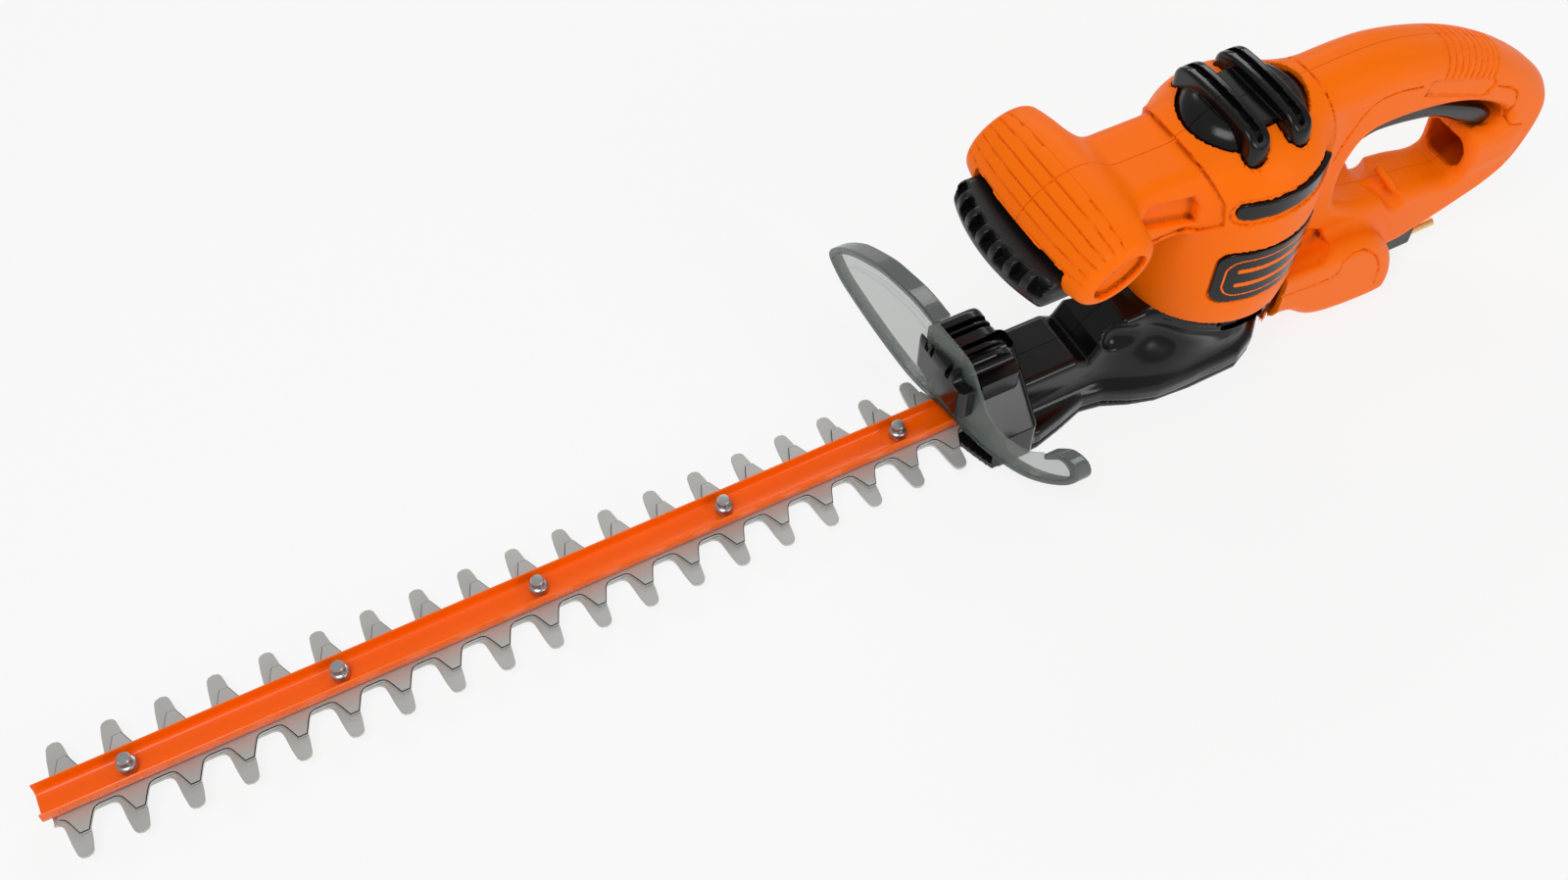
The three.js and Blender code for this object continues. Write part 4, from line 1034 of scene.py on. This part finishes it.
def blade(node, body, tooth, shift, ground):
    """A toothed bar with a slot at each bolt and a yoke round its eccentric, its cutting edges ground and
    painted near-black as shade.
    """
    low, high = node_box(node)
    shaft_low, shaft_high = node_box("gear_shaft")
    first = low[0] + FIRST_TOOTH
    edge = []
    for k in range(TEETH):
        edge += tooth(first + PITCH * k, high[1])
    neck = shaft_low[0] - NECK_LENGTH
    points = [(low[0], -BAR_HALF)] + [(x, -y) for x, y in edge] + [(neck, -BAR_HALF), (neck, BAR_HALF)]
    points += edge[::-1] + [(low[0], BAR_HALF)]
    piece = prism(node + "_ground", points, low[2], high[2], ground, lambda c: abs(c.y) > BAR_HALF - 0.01)
    for bolt_node in BOLTS:
        middle = sum(node_box(bolt_node))[0] / 2 + shift
        slot = rounded_ring(middle, **BOLT_SLOT)
        combine(piece, prism("slot_tool", slot, low[2] - 1, high[2] + 1), "DIFFERENCE")
    gear = (shaft_low[0] + shaft_high[0]) / 2 + shift
    ring = prism("ring_tool", rounded_ring(gear, **YOKE), low[2], high[2])
    combine(ring, prism("hole_tool", rounded_ring(gear, **YOKE_HOLE), low[2] - 1, high[2] + 1), "DIFFERENCE")
    combine(piece, ring, "UNION")
    keep(piece, body, "blade_steel", node)
    # The second material paints the ground bevels near-black as painted shade.
    piece.data.materials.append(FINISHES["bevel_painted_shade"])


def channel():
    """The folded steel channel that carries the blades, open above."""
    low, high = node_box("blade_channel")
    half, floor_z, rim_z = high[1], low[2], high[2]
    wall = 1.3
    outer = [
        (half - 0.6, rim_z), (half, rim_z - 0.5), (half, floor_z + 2.2), (half - 0.6, floor_z + 0.7),
        (half - 2.2, floor_z),
    ]
    inner = [
        (half - wall - 2.2, floor_z + wall), (half - wall - 0.9, floor_z + wall + 0.6),
        (half - wall, floor_z + wall + 2.2), (half - wall, rim_z - 0.4), (half - wall + 0.3, rim_z),
    ]
    loop = outer + [(-y, z) for y, z in reversed(outer)]
    loop += [(-y, z) for y, z in reversed(inner)] + inner
    bm = bmesh.new()
    ends = [[bm.verts.new((x, y, z)) for y, z in loop] for x in (low[0], high[0])]
    n = len(loop)
    for k in range(n):
        bm.faces.new((ends[0][k], ends[0][(k + 1) % n], ends[1][(k + 1) % n], ends[1][k]))
    bm.faces.new(ends[0])
    bm.faces.new(ends[1])
    bmesh.ops.recalc_face_normals(bm, faces=bm.faces)
    keep(add_piece("folded_channel", bm, 40), "tool", "channel_paint", "blade_channel")


def bolt(node):
    """A blade bolt: head below, neck through the blades' slots, collar on the channel, threaded end."""
    low, high = node_box(node)
    middle = (low + high) / 2
    top, foot = high[2], low[2]
    head = [(0, foot), (3.4, foot), (4.2, foot + 0.6), (4.2, 7.7)]
    neck = [(2.4, 7.7), (2.4, 14.1)]
    collar = [(3.9, 14.1), (4.4, 14.5), (4.4, 18.9), (3.9, 19.4)]
    thread = [(3.1, 19.6), (3.1, 20.2), (3.3, 20.5), (3.3, top - 1.1), (2.7, top - 0.3), (0, top)]
    profile = head + neck + collar + thread
    keep(turned("turned_" + node, profile, (middle[0], middle[1], 0)), "tool", "plated_steel", node)


# ---- everything in its place ----------------------------------------------------------------------

for word, side in SIDES:
    made = shape("body_" + word, body_field, (-129, -54, 1), (218, -SEAM, 176), 1.5, side, body_near, 0.8)
    keep(made, "tool", "orange_plastic", "housing_" + word)
    made = shape("gear_case_" + word, gear_case_field, (-151, -40, 3), (47, -SEAM, 59), 1.3, side)
    keep(made, "tool", "black_plastic", "gear_housing_" + word)
    made = shape("air_cap_" + word, cap_field, (-36, -35, 160), (31, -SEAM, 182), 0.8, side)
    keep(made, "tool", "black_plastic", "vent_cap_" + word)
    y_low, y_high = sorted((20 * side, 49 * side))
    made = shape("badge_plate_" + word, badge_plate, (-40, y_low, 74), (40, y_high, 120), 0.6)
    keep(made, "tool", "black_plastic", "badge_" + word)
    made = shape("badge_line_" + word, badge_line, (-40, y_low, 74), (40, y_high, 120), 0.5)
    keep(made, "tool", "orange_plastic")
    made = shape("stripe_" + word, stripe_plate, (-40, y_low, 132), (40, y_high, 157), 0.6)
    keep(made, "tool", "black_plastic", "side_vent_" + word)

made = shape("guard_sheet", guard_plate, GUARD_LOW, GUARD_HIGH, 0.8)
keep(made, "tool", "guard_clear", "guard")
made = shape("guard_rim", guard_rim, GUARD_LOW, GUARD_HIGH, 0.8)
keep(made, "tool", "guard_clear", "guard")
made.data.materials[0] = GUARD_EDGE
made = shape("sole_plate", sole_field, (-151, -40, -1), (47, 40, 5), 1.3)
keep(made, "tool", "dark_plastic", "base_plate")
made = shape("clamp_block", clamp_field, (-160, -24, 20), (-118, 26, 68), 0.8)
keep(made, "tool", "black_plastic", "guard_clamp")
made = shape("squeeze_bar", lever_shape, (-145, -41, 110), (-103, 41, 147), 1.0)
keep(made, "lever", "dark_plastic", "front_lever")
made = shape("trigger_bar", trigger_field, (60, -12, 82), (184, 12, 134), 1.0)
keep(made, "trigger", "black_plastic", "rear_trigger")
blade("lower_blade", "blade_low", long_tooth, -REST_SHIFT, 0.6)
blade("upper_blade", "blade_high", short_tooth, REST_SHIFT, 1.5)
channel()
for name in BOLTS:
    bolt(name)

# ---- camera, light and floor ----------------------------------------------------------------------

# Which way the camera looks, and which way is right in its view.
LOOK = Vector((0.281370, 0.509487, -0.813175))
RIGHT = Vector((0.883364, -0.468531, 0.012104))
camera = bpy.data.objects.new("camera", bpy.data.cameras.new("camera"))
bpy.context.scene.collection.objects.link(camera)
camera.data.lens = 39.375
camera.data.sensor_width = 36
camera.data.clip_start = 0.01
camera.rotation_mode = "QUATERNION"
camera.location = (-0.48046, -0.42543, 0.73160)
turn = Matrix((RIGHT, RIGHT.cross(LOOK), -LOOK)).transposed()
camera.rotation_quaternion = turn.to_quaternion()
bpy.context.scene.camera = camera

# The sky lights the object softly and looks brighter to the camera than it lights.
SKY_LIGHT = 0.42
SKY_SEEN = 0.92
world = bpy.data.worlds.new("studio")
bpy.context.scene.world = world
world.use_nodes = True
sky = world.node_tree.nodes["Background"]
sky.inputs["Color"].default_value = (1, 1, 1, 1)
seen = world.node_tree.nodes.new("ShaderNodeLightPath")
strength = world.node_tree.nodes.new("ShaderNodeMapRange")
strength.inputs["To Min"].default_value = SKY_LIGHT
strength.inputs["To Max"].default_value = SKY_SEEN
world.node_tree.links.new(seen.outputs["Is Camera Ray"], strength.inputs["Value"])
world.node_tree.links.new(strength.outputs["Result"], sky.inputs["Strength"])
bpy.context.scene.view_settings.view_transform = "Standard"


def softbox(name, where, aim, size, power):
    """A rectangular lamp that faces the aim."""
    lamp = bpy.data.objects.new(name, bpy.data.lights.new(name, "AREA"))
    lamp.data.shape = "RECTANGLE"
    lamp.data.size, lamp.data.size_y = size
    lamp.data.energy = power
    lamp.location = where
    lamp.rotation_mode = "QUATERNION"
    lamp.rotation_quaternion = (Vector(aim) - Vector(where)).to_track_quat("-Z", "Y")
    bpy.context.scene.collection.objects.link(lamp)


softbox("key", (-0.9, -0.5, 1.7), (-0.1, 0, 0.05), (0.9, 0.9), 14)
softbox("back", (0.7, 1.5, 1.2), (-0.1, 0, 0.05), (1.4, 0.5), 9)
softbox("side", (0.6, -1.5, 0.9), (0, 0, 0.08), (0.6, 0.6), 6)

# The floor glows a little, so that the object's shadow on it stays faint.
FLOOR_HALF = 40
FLOOR_GLOW = 0.83
bm = bmesh.new()
bmesh.ops.create_grid(bm, x_segments=8, y_segments=8, size=FLOOR_HALF)
floor_mesh = bpy.data.meshes.new("floor")
bm.to_mesh(floor_mesh)
bm.free()
floor = bpy.data.objects.new("floor", floor_mesh)
floor.location.z = -0.0005
bpy.context.scene.collection.objects.link(floor)
pale = finish_material("pale_floor", (0.12, 0.12, 0.12), 0.9, grain=60, bump=0.01, mottle=0.01)
glow = pale.node_tree.nodes["Principled BSDF"].inputs
glow["Emission Color"].default_value = (1, 1, 1, 1)
glow["Emission Strength"].default_value = FLOOR_GLOW
glow["Specular IOR Level"].default_value = 0.1
floor_mesh.materials.append(pale)
